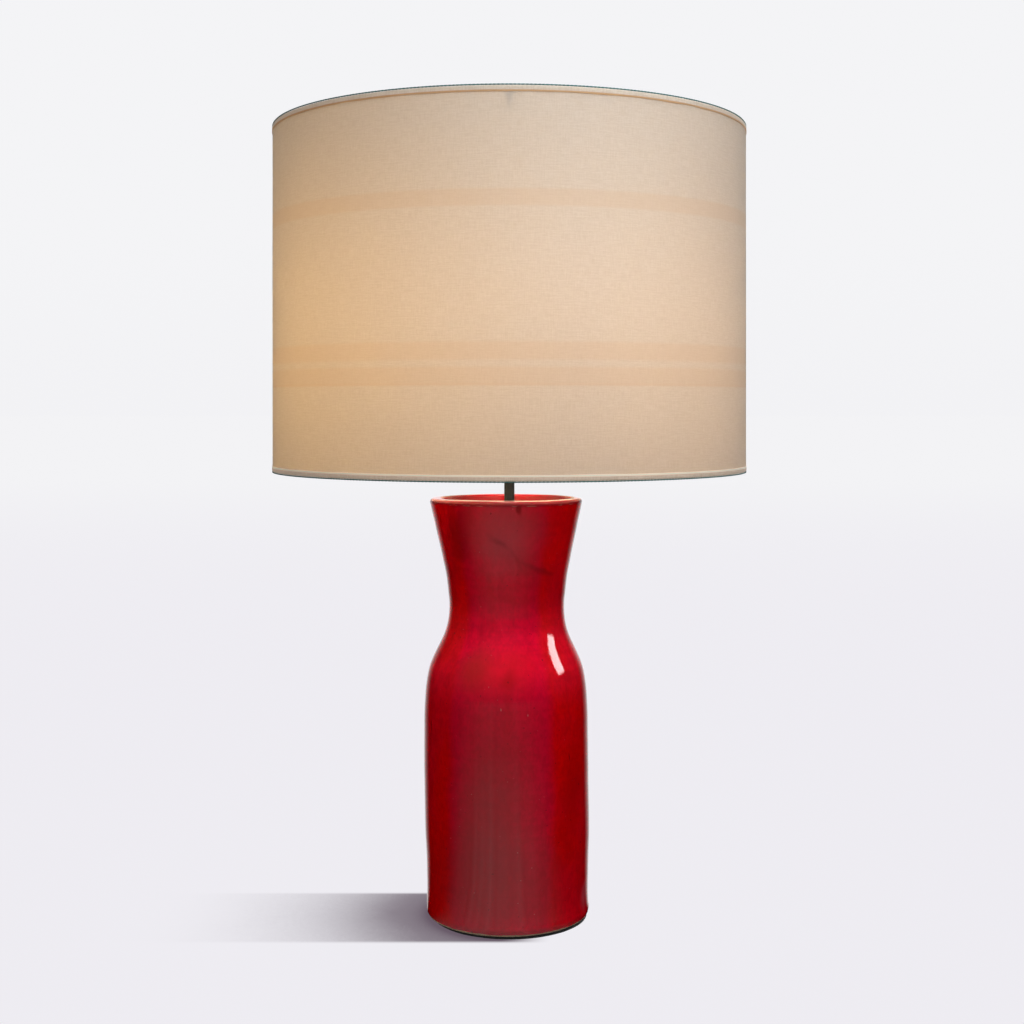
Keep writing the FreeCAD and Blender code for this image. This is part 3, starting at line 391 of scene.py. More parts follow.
# It runs down in faint streaks and is mottled all over. From the waist up the neck is
# darkened, which is painted shade.
runs = glaze.step(glaze.cloud(1.0, 4, glaze.stretch(glaze.place, (85, 85, 7))), 0.48, 0.75)
body_red = glaze.tinted(body_red, runs, 0.2, colour(0.42, 0.003, 0.005))
drips = glaze.cloud(1.0, 3, glaze.stretch(glaze.place, (410, 410, 210)))
blotches = glaze.plus(drips, glaze.cloud(120, 4))
rings = glaze.cloud(1.0, 3, glaze.stretch(glaze.place, (9, 9, 330)))
mottle = glaze.step(glaze.plus(blotches, glaze.times(rings, 0.45)), 0.95, 1.50)
mottle = glaze.mix(mottle, colour(0.90, 0.86, 0.88), colour(1.08, 1.13, 1.12))
body_red = glaze.mix(1.0, body_red, mottle, "MULTIPLY")
# Painted shade: the neck is darkened from the waist up.
neck_shade_and_cord_thickness = glaze.step(height, 290.0, 315.0)
body_red = glaze.tinted(body_red, neck_shade_and_cord_thickness, 0.2, colour(0.30, 0.002, 0.004))

# Then come hazes, smudges and nicks, pits and pale specks. Some of the marks are painted
# light and shade, as the table notes.
for along, up, length, width, slope, soft, tint, strength in GLAZE_MARKS:
    turned = {"Vector": swayed, "Location": (along, up, 0), "Scale": (length, width, 1),
              "Rotation": (0, 0, math.radians(slope))}
    reach = glaze.length(glaze.add("Mapping", turned, vector_type="TEXTURE"))
    body_red = glaze.tinted(body_red, glaze.step(reach, 1.0 + soft, 1.0 - soft), strength, tint)
pits = glaze.step(glaze.cloud(330, 1), 0.76, 0.80)
body_red = glaze.tinted(body_red, pits, 0.8, colour(0.06, 0.002, 0.002))
specks = glaze.step(glaze.cloud(410, 1, glaze.stretch(glaze.place, (1, 1, 1.3))), 0.79, 0.82)
body_red = glaze.tinted(body_red, specks, 0.6, colour(0.65, 0.30, 0.28))

# Inside the neck it is darkened, which is painted shade in the hollow. It is darker on the
# lip, and pale where it thins on the lip's crest. The outside of the neck has a radius of
# about NECK_FLARE times the height, less NECK_START.
neck_wall = glaze.math("SUBTRACT", glaze.times(height, NECK_FLARE), NECK_START)
past_wall = glaze.math("SUBTRACT", from_axis, neck_wall)
# Painted shade: the red is darkened inside the hollow of the neck.
painted_shade_in_mouth = glaze.times(glaze.step(past_wall, -5.0, -7.0), glaze.step(height, 318.0, 335.0))
body_red = glaze.tinted(body_red, painted_shade_in_mouth, 0.9, colour(0.30, 0.003, 0.010))
lip_top = glaze.times(glaze.step(height, 399.5, 402.0), glaze.step(from_axis, 66.0, 68.0))
body_red = glaze.tinted(body_red, lip_top, 0.9, colour(0.27, 0.008, 0.018))
from_edge = glaze.math("ABSOLUTE", glaze.math("SUBTRACT", height, 401.0))
broken = glaze.step(glaze.cloud(110, 4), 0.50, 0.68)
edge_line = glaze.times(glaze.step(from_edge, 0.6, 0.2), broken, glaze.step(from_axis, 70.5, 71.5))
body_red = glaze.tinted(body_red, edge_line, 0.7, colour(0.30, 0.12, 0.10))
crest_height = glaze.plus(height, glaze.times(glaze.cloud(60, 3), 2.2))
thin_glaze = glaze.times(glaze.step(crest_height, 405.9, 406.6), glaze.step(from_axis, 71.0, 68.8))
body_red = glaze.mix(thin_glaze, body_red, colour(0.66, 0.40, 0.33))

# At the foot it is dark in its roll and ends raggedly on bare clay.
roll_dark = glaze.step(height, 12.0, 7.0)
body_red = glaze.tinted(body_red, roll_dark, 0.15, colour(0.17, 0.002, 0.004))
ragged = glaze.times(glaze.cloud(70, 4), 2.4)
bare = glaze.step(glaze.plus(height, ragged), 6.2, 5.7)
clay_colour = glaze.mix(glaze.cloud(900, 3), colour(0.42, 0.29, 0.17), colour(0.68, 0.50, 0.32))
glaze.set(Base_Color=glaze.mix(bare, body_red, clay_colour))
glossy = glaze.plus(glaze.times(glaze.cloud(40, 3), 0.05), 0.03)
glaze.set(Roughness=glaze.math("MAXIMUM", glossy, glaze.times(bare, 0.9)))
peel = glaze.plus(glaze.cloud(240, 2), glaze.times(pits, -1.5))
glaze.set(Normal=glaze.bump(peel, 0.00012, 0.5))

clay = grained("bare_clay", 0.92, (800, 4), (0.28, 0.19, 0.11), (0.50, 0.36, 0.22), (0.0004, 0.6))

vase.data.materials.append(glaze.material)
vase.data.materials.append(clay.material)
for face in vase.data.polygons:
    middle = face.center / MM
    if middle.z < FOOT_RECESS_TOP + 2 and math.hypot(middle.x, middle.y) < FOOT_EDGE + 0.1:
        face.material_index = 1


def stand_for(piece, body, slot, *cad_nodes):
    """Let a piece ride on a body in place of the plain solids that it stands for."""
    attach(piece, body)
    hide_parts(*cad_nodes)


stand_for(vase, "base", "red_glaze", "vase")


# Felt: a disc of dark wool felt, 3 mm thick and cut a little smaller than the foot. It is
# glued under the foot, and hides the nut of the lamp tube.

FELT_RADIUS = 75.4
FELT_THICK = 3.0
FELT_MIDDLE = 40


def frayed(angle, radius, height):
    """The cut edge is hairy and waves a little."""
    edge = ease(radius, FELT_RADIUS - 2, FELT_RADIUS)
    fray = 0.25 * noise_round(angle, 40, height) + 0.5 * noise_round(angle, 3, 2)
    return round_place(angle, radius + edge * fray, height)


lower_half = [(0, 0), (FELT_MIDDLE, 0), (FELT_RADIUS - 1.0, 0), (FELT_RADIUS - 0.3, 0.2),
              (FELT_RADIUS, 0.7)]
outline = lower_half + [(FELT_RADIUS, FELT_THICK / 2)]
outline += [(radius, FELT_THICK - height) for radius, height in reversed(lower_half)]
felt_disc = turned_piece("felt_disc", outline, around=720, move=frayed)
felt = grained("dark_wool_felt", 0.95, (1400, 5), (0.010, 0.011, 0.011), (0.035, 0.037, 0.036),
               (0.0006, 0.8))
felt.set(Sheen_Weight=0.25)
felt_disc.data.materials.append(felt.material)
stand_for(felt_disc, "base", "dark_felt", "felt_pad")


# Cord inlet and rubbers: a moulded grommet pushed into the hole in the foot's back, a soft
# washer under the vase and a soft edge round the disc in the neck, all of black rubber.


def dress(finish, *cad_nodes):
    """Give CAD solids that stay as they are their finish."""
    for name in cad_nodes:
        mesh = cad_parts[name].data
        if not mesh.materials:
            mesh.materials.append(None)
        for index in range(len(mesh.materials)):
            mesh.materials[index] = finish.material


rubber = Finish("black_moulded_rubber", roughness=0.62)
dust = rubber.cloud(180, 5)
rubber.set(Base_Color=rubber.mix(dust, colour(0.012, 0.012, 0.012), colour(0.032, 0.031, 0.030)))
rubber.set(Normal=rubber.bump(rubber.cloud(2600, 2), 0.00008, 0.6))
dress(rubber, "cord_grommet", "base_rubber_washer", "neck_gasket")


# Lamp tube: a length of M10 steel tube, blackened and matt, that runs from under the foot up
# to the lampholder and carries everything. Its nuts and washers are zinc plated steel.

blackened = Finish("blackened_steel", roughness=0.5, metallic=0.2)
wear = blackened.cloud(120, 5, blackened.stretch(blackened.place, (6, 6, 1)))
blackened.set(Base_Color=blackened.mix(wear, colour(0.021, 0.032, 0.035),
                                       colour(0.062, 0.090, 0.100)))
blackened.set(Roughness=blackened.step(wear, -0.6, 1.2))
blackened.set(Normal=blackened.bump(blackened.cloud(1500, 3), 0.00005, 0.4))
dress(blackened, "lamp_tube")


def plated(name, low, high, roughness, stretched=(1, 1, 1)):
    """Plated or bare metal with faint drawn lines, smudges and a little tarnish."""
    finish = Finish(name, roughness=roughness, metallic=1.0)
    lines = finish.cloud(700, 4, finish.stretch(finish.place, stretched))
    smudge = finish.cloud(55, 4)
    tone = finish.times(finish.plus(lines, smudge), 0.5)
    finish.set(Base_Color=finish.mix(finish.step(tone, 0.3, 0.7), low, high))
    finish.set(Roughness=finish.plus(finish.times(smudge, 0.25), roughness - 0.1))
    finish.set(Normal=finish.bump(lines, 0.00002, 0.5))
    return finish


zinc = plated("zinc_plate", colour(0.42, 0.43, 0.42), colour(0.66, 0.66, 0.62), 0.34)
dress(zinc, "base_washer", "base_nut", "neck_washer", "neck_nut", "saddle_nut")


# Neck disc: a pressed steel disc, painted satin black, that keeps the tube in the middle of
# the neck. A washer and a nut on the tube hold it down.

black_paint = grained("satin_black_paint", 0.38, (300, 3), (0.016, 0.016, 0.016),
                      (0.032, 0.032, 0.031), (0.0001, 0.35))
dress(black_paint, "neck_disc")


# Saddle and harp: a bent strip on the tube and a sprung wire hoop that stands on its posts.
# Two sliding ferrules lock the hoop's feet, and a stud that turns in its top carries the
# shade. All are steel with satin nickel plating.

nickel = plated("satin_nickel", colour(0.50, 0.475, 0.43), colour(0.72, 0.69, 0.63), 0.27,
                stretched=(1, 1, 6))
dress(nickel, "harp_saddle", "harp_wire", "harp_top", "ferrule_left", "ferrule_right",
      "swivel_stud")


# Lampholder: a pressed nickel-plated cap and shell round a card sleeve. Inside are a
# phenolic block, brass contacts and screws, and the rolled brass shell for the bulb. A
# grub screw holds the cap on the tube.

dress(nickel, "socket_cap", "socket_shell")
dress(zinc, "cap_grub_screw")
card = grained("vulcanised_fibre", 0.8, (420, 5), (0.17, 0.10, 0.055), (0.33, 0.22, 0.13),
               (0.0001, 0.6), stretched=(1, 1, 5))
dress(card, "socket_sleeve")
phenolic = grained("dark_phenolic", 0.32, (260, 5), (0.030, 0.020, 0.017), (0.075, 0.052, 0.044),
                   (0.00005, 0.5))
dress(phenolic, "socket_block")
brass = plated("bare_brass", colour(0.60, 0.42, 0.15), colour(0.80, 0.60, 0.27), 0.3)
dress(brass, "terminal_screws", "centre_contact", "screw_shell")


# Switch: a brass blade and a phenolic rotor inside the lampholder. The rotor's plated steel
# spindle comes out at the side, and has a fluted knob of black plastic pushed on to its end.

dress(brass, "switch_blade")
dress(phenolic, "switch_rotor")
dress(zinc, "switch_spindle")
plastic = grained("black_moulded_plastic", 0.28, (600, 4), (0.013, 0.013, 0.013),
                  (0.030, 0.029, 0.028), (0.00004, 0.5))
dress(plastic, "switch_knob")


# Bulb: a pearl glass envelope cemented into a rolled aluminium screw cap, with a black glass
# insulator, a solder tip, and its glass mount, leads and filament hidden behind the pearl.

BULB_NECK = 12.6
BULB_BALL = 30.0
BULB_CAP_STEP = 534.75
BULB_NECK_TOP = 542.4
BULB_CENTRE = 591.4

neck_rise = BULB_CENTRE - BULB_NECK_TOP
hollow = (BULB_NECK ** 2 + neck_rise ** 2 - BULB_BALL ** 2) / (2 * (BULB_BALL - BULB_NECK))
meet = math.degrees(math.atan2(neck_rise, BULB_NECK + hollow))
outline = [(0, BULB_CAP_STEP + 0.1), (BULB_NECK - 1.0, BULB_CAP_STEP + 0.1),
           (BULB_NECK - 0.1, BULB_CAP_STEP + 0.6), (BULB_NECK - 0.1, BULB_CAP_STEP + 3.6)]
outline += bend(BULB_NECK + hollow, BULB_NECK_TOP, hollow, 180, 180 - meet, 12)
outline += bend(0, BULB_CENTRE, BULB_BALL, -meet + 3, 90, 26)[:-1]
outline += [(0, BULB_CENTRE + BULB_BALL)]
bulb_envelope = turned_piece("bulb_envelope", outline, around=96)
pearl = grained("pearl_glass", 0.3, (90, 3), (0.86, 0.84, 0.80), (0.93, 0.91, 0.88),
                (0.00003, 0.3))
pearl.set(Emission_Color=colour(1.0, 0.79, 0.64), Emission_Strength=21.0)
bulb_envelope.data.materials.append(pearl.material)
stand_for(bulb_envelope, "bulb", "pearl_glass", "bulb_glass")

aluminium = plated("rolled_aluminium", colour(0.62, 0.62, 0.62), colour(0.82, 0.82, 0.82), 0.3)
dress(aluminium, "bulb_cap")
solder = plated("dull_solder", colour(0.36, 0.36, 0.37), colour(0.58, 0.58, 0.58), 0.45)
dress(solder, "bulb_contact")
tungsten = plated("tungsten_wire", colour(0.22, 0.21, 0.20), colour(0.36, 0.34, 0.31), 0.4)
dress(tungsten, "bulb_filament")

insulator = grained("black_glass", 0.12, (200, 4), (0.008, 0.008, 0.009), (0.022, 0.020, 0.022),
                    (0.00008, 0.4))
dress(insulator, "bulb_insulator")
clear = grained("clear_glass", 0.03, (500, 2), (0.93, 0.95, 0.94), (0.98, 0.98, 0.98),
                (0.00005, 0.3))
clear.set(Transmission_Weight=1.0)
dress(clear, "bulb_mount")
dress(zinc, "bulb_leads")


# Shade frame: two steel wire rings with a white powder coat, one at each rim. A spider of
# three nickel-plated arms joins the top ring to a hub, which the finial clamps to the harp.

powder = grained("white_powder_coat", 0.42, (1100, 3), (0.72, 0.72, 0.70), (0.83, 0.83, 0.81),
                 (0.0001, 0.5))
dress(powder, "top_ring", "bottom_ring")
dress(nickel, "spider_hub", "spider_arm_1", "spider_arm_2", "spider_arm_3", "finial")


# Shade drum: slubbed cream linen glued to a stiff white styrene sheet, rolled into a drum and
# joined by a taped seam at the back. Light from the bulb shows through both.

CLOTH_OUTSIDE = 228.2
LINER_INSIDE = 227.0
DRUM_BOTTOM = 432.5
DRUM_TOP = 759.3
GLUE_LINE = 227.6
DRUM_STEPS = 66

drum_rise = DRUM_TOP - DRUM_BOTTOM
drum_heights = [DRUM_BOTTOM + drum_rise * step / DRUM_STEPS for step in range(DRUM_STEPS + 1)]


def hand_rolled(angle, radius, height):
    """The cloth is a hair out of round and dips a little between its rings."""
    if radius >= GLUE_LINE:
        radius += 0.12 * noise_round(angle, 2.2, height / 90)
    return round_place(angle, radius, height)


outline = [(CLOTH_OUTSIDE, height) for height in drum_heights]
outline += [(GLUE_LINE, DRUM_TOP)]
outline += [(LINER_INSIDE, height) for height in reversed(drum_heights)]
outline += [(GLUE_LINE, DRUM_BOTTOM)]
drum = turned_piece("linen_drum", outline, around=256, move=hand_rolled)


class Cloth(Finish):
    """Thin cloth or sheet that lets part of the light through."""

    def let_through(self, share):
        """Mix the shader with light from behind in its own colour, less of it at a glance."""
        inputs = {"Color": self.shader.inputs["Base Color"].links[0].from_socket,
                  "Normal": self.shader.inputs["Normal"].links[0].from_socket}
        glow = self.add("BsdfTranslucent", inputs)
        glancing = self.math("POWER", self.add("LayerWeight", {"Blend": 0.5}, "Facing"), 2.5)
        share = self.times(self.math("SUBTRACT", 1.0, self.times(glancing, 0.5)), share)
        both = self.add("MixShader", {0: share, 1: self.shader.outputs[0], 2: glow})
        self.tree.links.new(both, self.tree.nodes["Material Output"].inputs["Surface"])


def woven(name, pale, dark):
    """Slubbed linen: uneven threads along the round, finer ones up and down."""
    linen = Cloth(name, roughness=0.9)
    unrolled, height = linen.unroll(CLOTH_OUTSIDE)
    weft = linen.cloud(1.0, 3, linen.stretch(unrolled, (0.30, 1.5, 1)))
    slub = linen.cloud(1.0, 4, linen.stretch(unrolled, (0.075, 0.8, 1)))
    warp = linen.cloud(1.0, 3, linen.stretch(unrolled, (1.2, 0.10, 1)))
    threads = linen.plus(linen.times(weft, 0.5), linen.times(warp, 0.5))
    tone = linen.plus(linen.times(threads, 0.64), linen.times(slub, 0.36))
    shade = linen.mix(linen.step(tone, 0.34, 0.66), dark, pale)
    waves = []
    for direction, along in (("X", (1, 0, 0)), ("Y", (0, 1, 0))):
        inputs = {"Vector": linen.stretch(unrolled, along), "Scale": 0.62, "Distortion": 0.6}
        waves.append(linen.add("TexWave", inputs, 1, bands_direction=direction))
    relief = linen.plus(linen.times(linen.plus(*waves), 0.25), tone)
    linen.set(Sheen_Weight=0.15, Normal=linen.bump(relief, 0.0003, 0.6))
    return linen, shade, height


linen, linen_shade, cloth_height = woven("cream_linen", colour(0.825, 0.715, 0.61),
                                         colour(0.735, 0.62, 0.508))
# Darker bands round the drum, at these heights.
DARKER_BANDS = [
    # bottom, top, softness, strength
    (660.5, 674.5, 1.6, 0.42),
    (533.0, 548.0, 2.0, 0.42),
    (512.0, 527.0, 2.0, 0.42),
    (511.5, 513.5, 0.8, 0.4),
]
for bottom, top, soft, strength in DARKER_BANDS:
    above = linen.step(cloth_height, bottom - soft, bottom + soft)
    below = linen.step(cloth_height, top + soft, top - soft)
    linen_shade = linen.tinted(linen_shade, linen.times(above, below), strength,
                               colour(0.76, 0.58, 0.42))
linen.set(Base_Color=linen_shade)
linen.let_through(0.48)

liner = grained("white_styrene_sheet", 0.45, (240, 4), (0.80, 0.78, 0.74), (0.88, 0.86, 0.83),
                (0.00008, 0.4), kind=Cloth)
liner.let_through(0.50)

drum.data.materials.append(linen.material)
drum.data.materials.append(liner.material)
for face in drum.data.polygons:
    if math.hypot(face.center.x, face.center.y) / MM < GLUE_LINE + 0.2:
        face.material_index = 1
stand_for(drum, "shade", "cream_fabric", "shade_fabric", "shade_liner")
dress(liner, "shade_seam_tape")


# Hems: a strip of the same linen at each rim, folded over the wire ring and glued down
# outside and inside. The folded cloth has a faint painted glow for the bulb's light, a painted
# shadow under the top strip's cut edge and a painted highlight along the bottom fold.

HEM_THICK = 0.45
HEM_OUTSIDE = 228.42
HEM_INSIDE = 223.23
OUTER_FOLD = 1.0
INNER_FOLD = 0.97
BETWEEN_RIMS = 600.0


def strip_outline(line, thickness):
    """Closed outline of a strip of some thickness about an open line of points."""
    left, right = [], []
    for index, (radius, height) in enumerate(line):
        before = line[max(index - 1, 0)]
        after = line[min(index + 1, len(line) - 1)]
        run, rise = after[0] - before[0], after[1] - before[1]
        length = math.hypot(run, rise)
        aside_r, aside_z = -rise / length * thickness / 2, run / length * thickness / 2
        left.append((radius + aside_r, height + aside_z))
        right.append((radius - aside_r, height - aside_z))
    return left + right[::-1]


def fold_over(turn_over):
    """Line of a hem over its ring, above the drum or mirrored below it."""
    line = [(HEM_OUTSIDE, DRUM_TOP - down) for down in (4.9, 3.9, 2.5, 1.1)]
    line += bend(HEM_OUTSIDE - OUTER_FOLD, DRUM_TOP - 0.8, OUTER_FOLD, 10, 90, 5)
    line += [(226.4, DRUM_TOP + 0.2), (225.2, DRUM_TOP + 0.22)]
    line += bend(HEM_INSIDE + INNER_FOLD, DRUM_TOP - 0.75, INNER_FOLD, 90, 180, 6)
    line += [(HEM_INSIDE, DRUM_TOP - 1.6)]
    if turn_over:
        line = [(radius, DRUM_TOP + DRUM_BOTTOM - height) for radius, height in line]
    return line


def glued(angle, radius, height):
    """The strip's cut edge wanders, and the glue leaves it slightly puffed. The two strips
    take their noise from levels of their own."""
    from_rim = min(DRUM_TOP - height, height - DRUM_BOTTOM)
    outside = ease(radius, 227.9, 228.3)
    level = height // 200
    towards = 1 if height > BETWEEN_RIMS else -1
    height += towards * outside * ease(from_rim, 3.4, 4.6) * 0.45 * noise_round(angle, 9, level)
    return round_place(angle, radius + outside * 0.06 * noise_round(angle, 16, 7 + level), height)


hem_linen, hem_shade, hem_height = woven("hem_linen", colour(0.80, 0.69, 0.57),
                                         colour(0.68, 0.55, 0.42))
at_top = hem_linen.step(hem_height, BETWEEN_RIMS, BETWEEN_RIMS + 1)
at_bottom = hem_linen.step(hem_height, BETWEEN_RIMS, BETWEEN_RIMS - 1)
# Painted shadow: an orange-brown line under the top strip's cut edge.
painted_hem_shadow = hem_linen.times(hem_linen.step(hem_height, 756.3, 755.4), at_top)
hem_shade = hem_linen.mix(painted_hem_shadow, hem_shade, colour(0.62, 0.38, 0.20))
# Painted highlight: a pale line along the bottom strip's fold.
painted_fold_highlight = hem_linen.times(hem_linen.step(hem_height, 435.2, 436.2), at_bottom)
hem_shade = hem_linen.mix(painted_fold_highlight, hem_shade, colour(0.93, 0.84, 0.72))
# Painted glow: the emission stands for the bulb's light through the folded cloth.
hem_linen.set(Base_Color=hem_shade, Emission_Color=hem_shade, Emission_Strength=0.26)
hem_linen.let_through(0.35)
for name, cad_node, turn_over in (("top_hem_strip", "top_hem", False),
                                  ("bottom_hem_strip", "bottom_hem", True)):
    outline = strip_outline(fold_over(turn_over), HEM_THICK)
    hem = turned_piece(name, outline, around=360, move=glued, sharp=60)
    hem.data.materials.append(hem_linen.material)
    stand_for(hem, "shade", "cream_fabric", cad_node)


# Edge trim: a fine grey-green cotton cord, twisted of two strands. One length of it is
# glued along each rim of the drum, on the outer fold of the hem.

TRIM_RADIUS = 0.62
TRIM_AT = 227.98
TRIM_PAST_RIM = 0.98
TRIM_TWISTS = 420


def twisted_ring(name, ring_radius, cord_radius, height):
    """A closed ring of two-strand cord."""
    around, section = TRIM_TWISTS * 6, 8
    corners = []
    for step in range(around):
        angle = math.tau * step / around
        twist = angle * TRIM_TWISTS
        for index in range(section):
            turn = math.tau * index / section
            neck_shade_and_cord_thickness = cord_radius * (0.86 + 0.14 * math.cos(2 * (turn - twist / 2)))
            radius = ring_radius + neck_shade_and_cord_thickness * math.cos(turn)
            corners.append(Vector(round_place(angle, radius, height + neck_shade_and_cord_thickness * math.sin(turn))) * MM)
    faces = []
    for step in range(around):
        here, there = step * section, (step + 1) % around * section
        for index in range(section):
            after = (index + 1) % section
            faces.append([here + index, there + index, there + after, here + after])
    return finished_mesh(name, corners, faces, 80)


trim = grained("grey_green_trim", 0.75, (1500, 4), (0.050, 0.135, 0.120), (0.10, 0.22, 0.20),
               (0.0002, 0.6))
for name, cad_node, height in (("top_edge_trim", "top_piping", DRUM_TOP + TRIM_PAST_RIM),
                               ("bottom_edge_trim", "bottom_piping", DRUM_BOTTOM - TRIM_PAST_RIM)):
    ring = twisted_ring(name, TRIM_AT, TRIM_RADIUS, height)
    ring.data.materials.append(trim.material)
    stand_for(ring, "shade", "grey_trim", cad_node)


# Room: a pale floor that fades into a pale wall, lit evenly. Its shadow is drawn from how
# open each place is towards the light on the right. The vase mirrors a dim hazy front,
# darker sides and the bright wall behind it.

FLOOR_HALF = 60.0
WHITE = colour(1.0, 1.0, 1.0)


class Surround(Finish):
    """Nodes of the floor or the sky, which share the brightness that glossy things mirror."""

    def __init__(self, tree):
        self.tree = tree

    def ray(self, kind):
        """1 for rays of a kind and 0 for the others."""
        return self.add("LightPath", {}, kind)

    def off_centre(self, vector, direction):
        """How far a vector reaches along a direction, either way."""
        reach = self.add("VectorMath", {0: vector, 1: direction}, "Value", operation="DOT_PRODUCT")
        return self.math("ABSOLUTE", reach)

    def degrees(self, sideways, ahead):
        """Direction in degrees from straight ahead."""
        return self.times(self.math("ARCTAN2", sideways, ahead), 180 / math.pi)

    def mirrored(self, vector, strength, spread, edge=0.0):
        """Brightness by direction from the front: haze ahead, dark sides, bright behind. The
        haze ends at spread degrees on the right. edge is how far the vase's sides, which
        mirror what lies behind, are from the axis in metres."""
        sideways, depth = self.split(vector)[:2]
        ahead = self.times(depth, -1.0)
        turn = self.degrees(sideways, ahead)
        streaks = self.add("TexNoise", {"Vector": self.add("CombineXYZ", {0: turn}), "Scale": 0.12,
                                        "Detail": 3.0})
        haze = self.times(self.step(turn, -82.0, -22.0), self.step(turn, spread, -8.0),
                          self.plus(self.times(streaks, 0.9), 0.1), strength)
        past_edge = self.math("SUBTRACT", self.math("ABSOLUTE", sideways), edge)
        return self.plus(haze, self.step(self.degrees(past_edge, ahead), 134.0, 174.0))


def flat_sheet(name, half):
    """A level square sheet, half its width to each side of the lamp."""
    mesh = bpy.data.meshes.new(name)
    corners = [(-half, -half, 0), (half, -half, 0), (half, half, 0), (-half, half, 0)]
    mesh.from_pydata(corners, [], [(0, 1, 2, 3)])
    piece = bpy.data.objects.new(name, mesh)
    scene.collection.objects.link(piece)
    return piece


floor = flat_sheet("floor", FLOOR_HALF)
pale_floor = bpy.data.materials.new("pale_floor")
pale_floor.use_nodes = True
ground = Surround(pale_floor.node_tree)
ground.tree.nodes.remove(ground.tree.nodes["Principled BSDF"])
spot = ground.add("TexCoord", {}, "Object")
across, along = ground.split(spot)[:2]
far = ground.step(along, 0.9, 9.0)
plain = ground.mix(far, colour(0.855, 0.840, 0.885), colour(0.896, 0.894, 0.913))
fade_left = ground.step(across, -0.37, -0.25)
fade_right = ground.step(across, 0.04, -0.01)
fade_back = ground.step(along, 0.0625, 0.054)
fade_front = ground.step(along, -0.086, -0.077)
kept = ground.times(fade_left, fade_right, ground.times(fade_back, fade_front))
towards_light = (0.70, 0.0, 0.71)
open_sky = ground.add("AmbientOcclusion", {"Distance": 0.4, "Normal": towards_light}, "AO",
                      samples=24)
shadow = ground.plus(ground.times(ground.step(open_sky, 0.97, 0.74), 0.78),
                     ground.times(ground.step(open_sky, 0.74, 0.52), 0.14))
plain = ground.tinted(plain, shadow, kept, colour(0.080, 0.042, 0.074))
seen = ground.add("Emission", {"Color": plain})
near = ground.plus(ground.times(ground.step(ground.length(spot), 0.95, 0.2), 0.62), 0.33)
mirrored = ground.mirrored(spot, near, 74.0, 0.078)
mirror = ground.add("Emission", {"Color": WHITE, "Strength": mirrored})
bounce = ground.add("BsdfDiffuse", {"Color": colour(0.37, 0.37, 0.38)})
unseen = ground.add("MixShader", {0: ground.ray("Is Glossy Ray"), 1: bounce, 2: mirror})
whole = ground.add("MixShader", {0: ground.ray("Is Camera Ray"), 1: unseen, 2: seen})
ground.tree.links.new(whole, ground.tree.nodes["Material Output"].inputs["Surface"])
floor.data.materials.append(pale_floor)

SOFTBOX_ACROSS = (-0.052, 0.9986, 0.0)
SOFTBOX_UP = (-0.492, -0.026, 0.870)
SOFTBOX_GLOW = 13.0

world = bpy.data.worlds.new("pale_room")
world.use_nodes = True
scene.world = world
sky = Surround(world.node_tree)
look = sky.add("TexCoord", {}, "Generated")
look_parts = sky.split(look)
right, up = look_parts[0], look_parts[2]
wall = sky.mix(sky.step(up, -0.02, 0.12), colour(0.890, 0.888, 0.910), colour(0.904, 0.904, 0.921))
softbox = sky.times(sky.step(sky.off_centre(look, SOFTBOX_ACROSS), 0.145, 0.095),
                    sky.step(sky.off_centre(look, SOFTBOX_UP), 0.29, 0.20),
                    sky.step(right, 0.0, 0.1), SOFTBOX_GLOW)
ceiling = sky.times(sky.step(up, 0.75, 0.95), 0.6)
mirrored = sky.plus(sky.plus(sky.mirrored(look, 0.14, 50.0), softbox), ceiling)
through = sky.math("MAXIMUM", sky.ray("Is Camera Ray"), sky.ray("Is Transmission Ray"))
soft_light = sky.add("Background", {"Color": WHITE, "Strength": 0.26})
gloss_light = sky.add("Background", {"Color": WHITE, "Strength": mirrored})
wall_light = sky.add("Background", {"Color": wall, "Strength": 1.0})
sky_light = sky.add("MixShader", {0: sky.ray("Is Glossy Ray"), 1: soft_light, 2: gloss_light})
sky_light = sky.add("MixShader", {0: through, 1: sky_light, 2: wall_light})
sky.tree.links.new(sky_light, sky.tree.nodes["World Output"].inputs["Surface"])


# Lights: two soft panels in front and above, a spot for the shade, and narrower ones for the
# neck, the foot and the shoulder of the vase. The bulb's glow on the real cloth isn't even,
# so three warm panels beside the bulb stand for it.

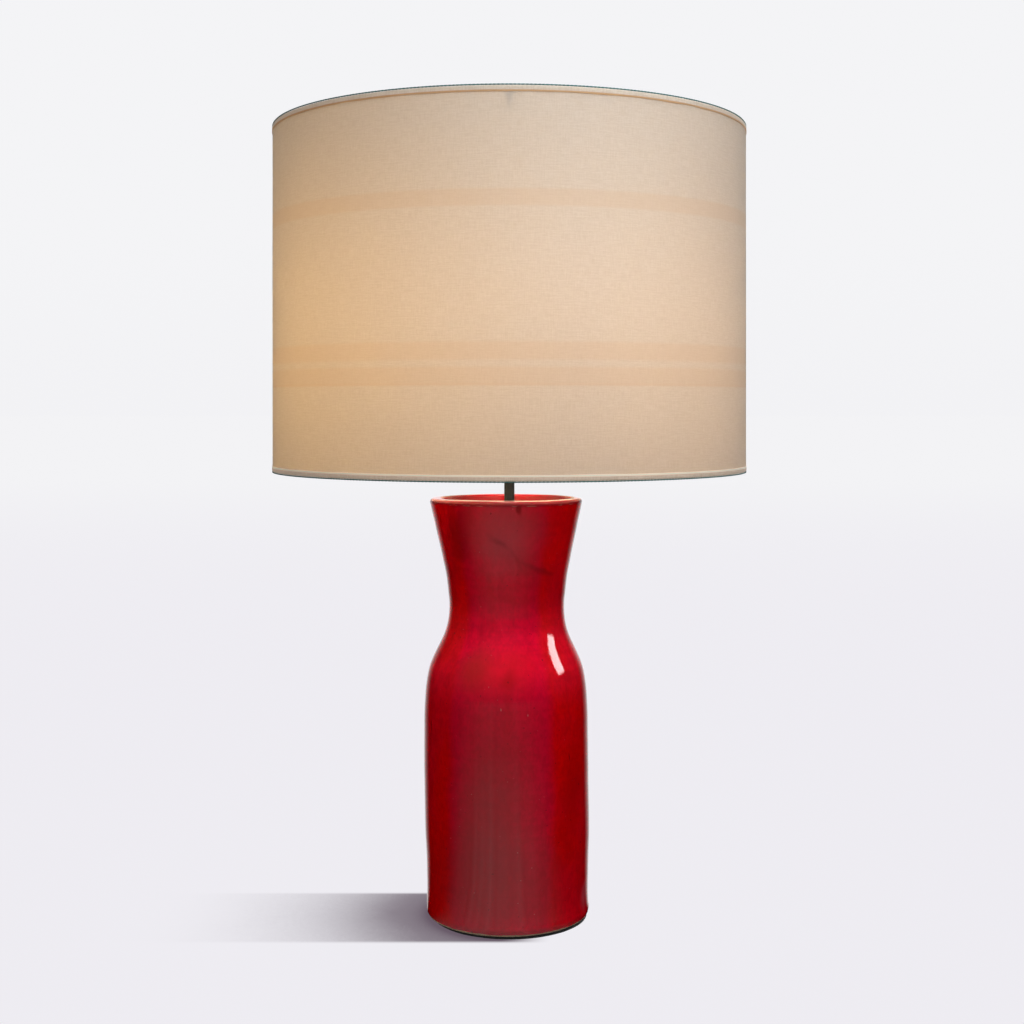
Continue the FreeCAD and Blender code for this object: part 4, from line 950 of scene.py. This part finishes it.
SPOTS = [
    # name, place, aim, watts, beam in degrees, softness of the beam's edge, size
    ("shade_light", (0.45, -1.30, 0.95), (0, 0, 0.58), 24.5, 24, 0.7, 0.20),
    ("down_light", (0.10, -0.28, 1.60), (0.04, -0.07, 0.26), 50.0, 10, 1.0, 0.10),
    ("left_light", (-1.0, -0.20, 0.12), (0, 0, 0.11), 4.5, 20, 1.0, 0.20),
    ("right_light", (1.0, -0.20, 0.30), (0, 0, 0.235), 7.0, 12, 1.0, 0.20),
]
BULB_PANELS = [
    # name, place, aim, watts, height of the panel, colour
    ("bulb_left_light", (-0.036, -0.017, 0.555), (-1.0, -0.47, 0.555), 0.87, 0.20, (1.0, 0.71, 0.265)),
    ("bulb_right_light", (0.024, -0.032, 0.53), (0.6, -0.8, 0.50), 0.46, 0.14, (1.0, 0.79, 0.52)),
    ("bulb_back_light", (0.0, 0.042, 0.54), (0.0, 1.0, 0.54), 0.8, 0.20, (1.0, 0.74, 0.40)),
]
BULB_PANEL_WIDE = 0.03


def shine(kind, name, place, aim, power, **settings):
    """Hang a light at a place, turned to its aim. Glossy things don't mirror it."""
    light = bpy.data.lights.new(name, kind)
    light.energy = power
    for setting, value in settings.items():
        setattr(light, setting, value)
    lamp = bpy.data.objects.new(name, light)
    lamp.location = place
    lamp.rotation_euler = (Vector(place) - Vector(aim)).to_track_quat("Z", "Y").to_euler()
    lamp.visible_glossy = False
    scene.collection.objects.link(lamp)


shine("AREA", "key_light", (0.70, -1.12, 1.75), (0, 0, 0.5), 2.1, size=0.8)
shine("AREA", "top_light", (0.20, -0.54, 1.18), (0, 0, 0.6), 3.0, size=0.5,
      color=(0.80, 1.0, 1.2))
for name, place, aim, watts, beam, softness, size in SPOTS:
    shine("SPOT", name, place, aim, watts, spot_size=math.radians(beam), spot_blend=softness,
          shadow_soft_size=size)
for name, place, aim, watts, tall, tint in BULB_PANELS:
    shine("AREA", name, place, aim, watts, shape="RECTANGLE", size=BULB_PANEL_WIDE, size_y=tall,
          color=tint)


# Camera: level, 1.48 m in front of the lamp's axis and 0.50 m above the floor. Its frame is
# shifted down, so that the horizon lies above the middle.

camera = bpy.data.cameras.new("camera")
camera.sensor_width = 36.0
camera.lens = 53.41
camera.shift_y = -0.1058
camera_stand = bpy.data.objects.new("camera", camera)
camera_stand.location = (0.0026, -1.482, 0.4964)
camera_stand.rotation_euler = (math.radians(90), 0.0, 0.0)
scene.collection.objects.link(camera_stand)
scene.camera = camera_stand

bpy.context.view_layer.update()
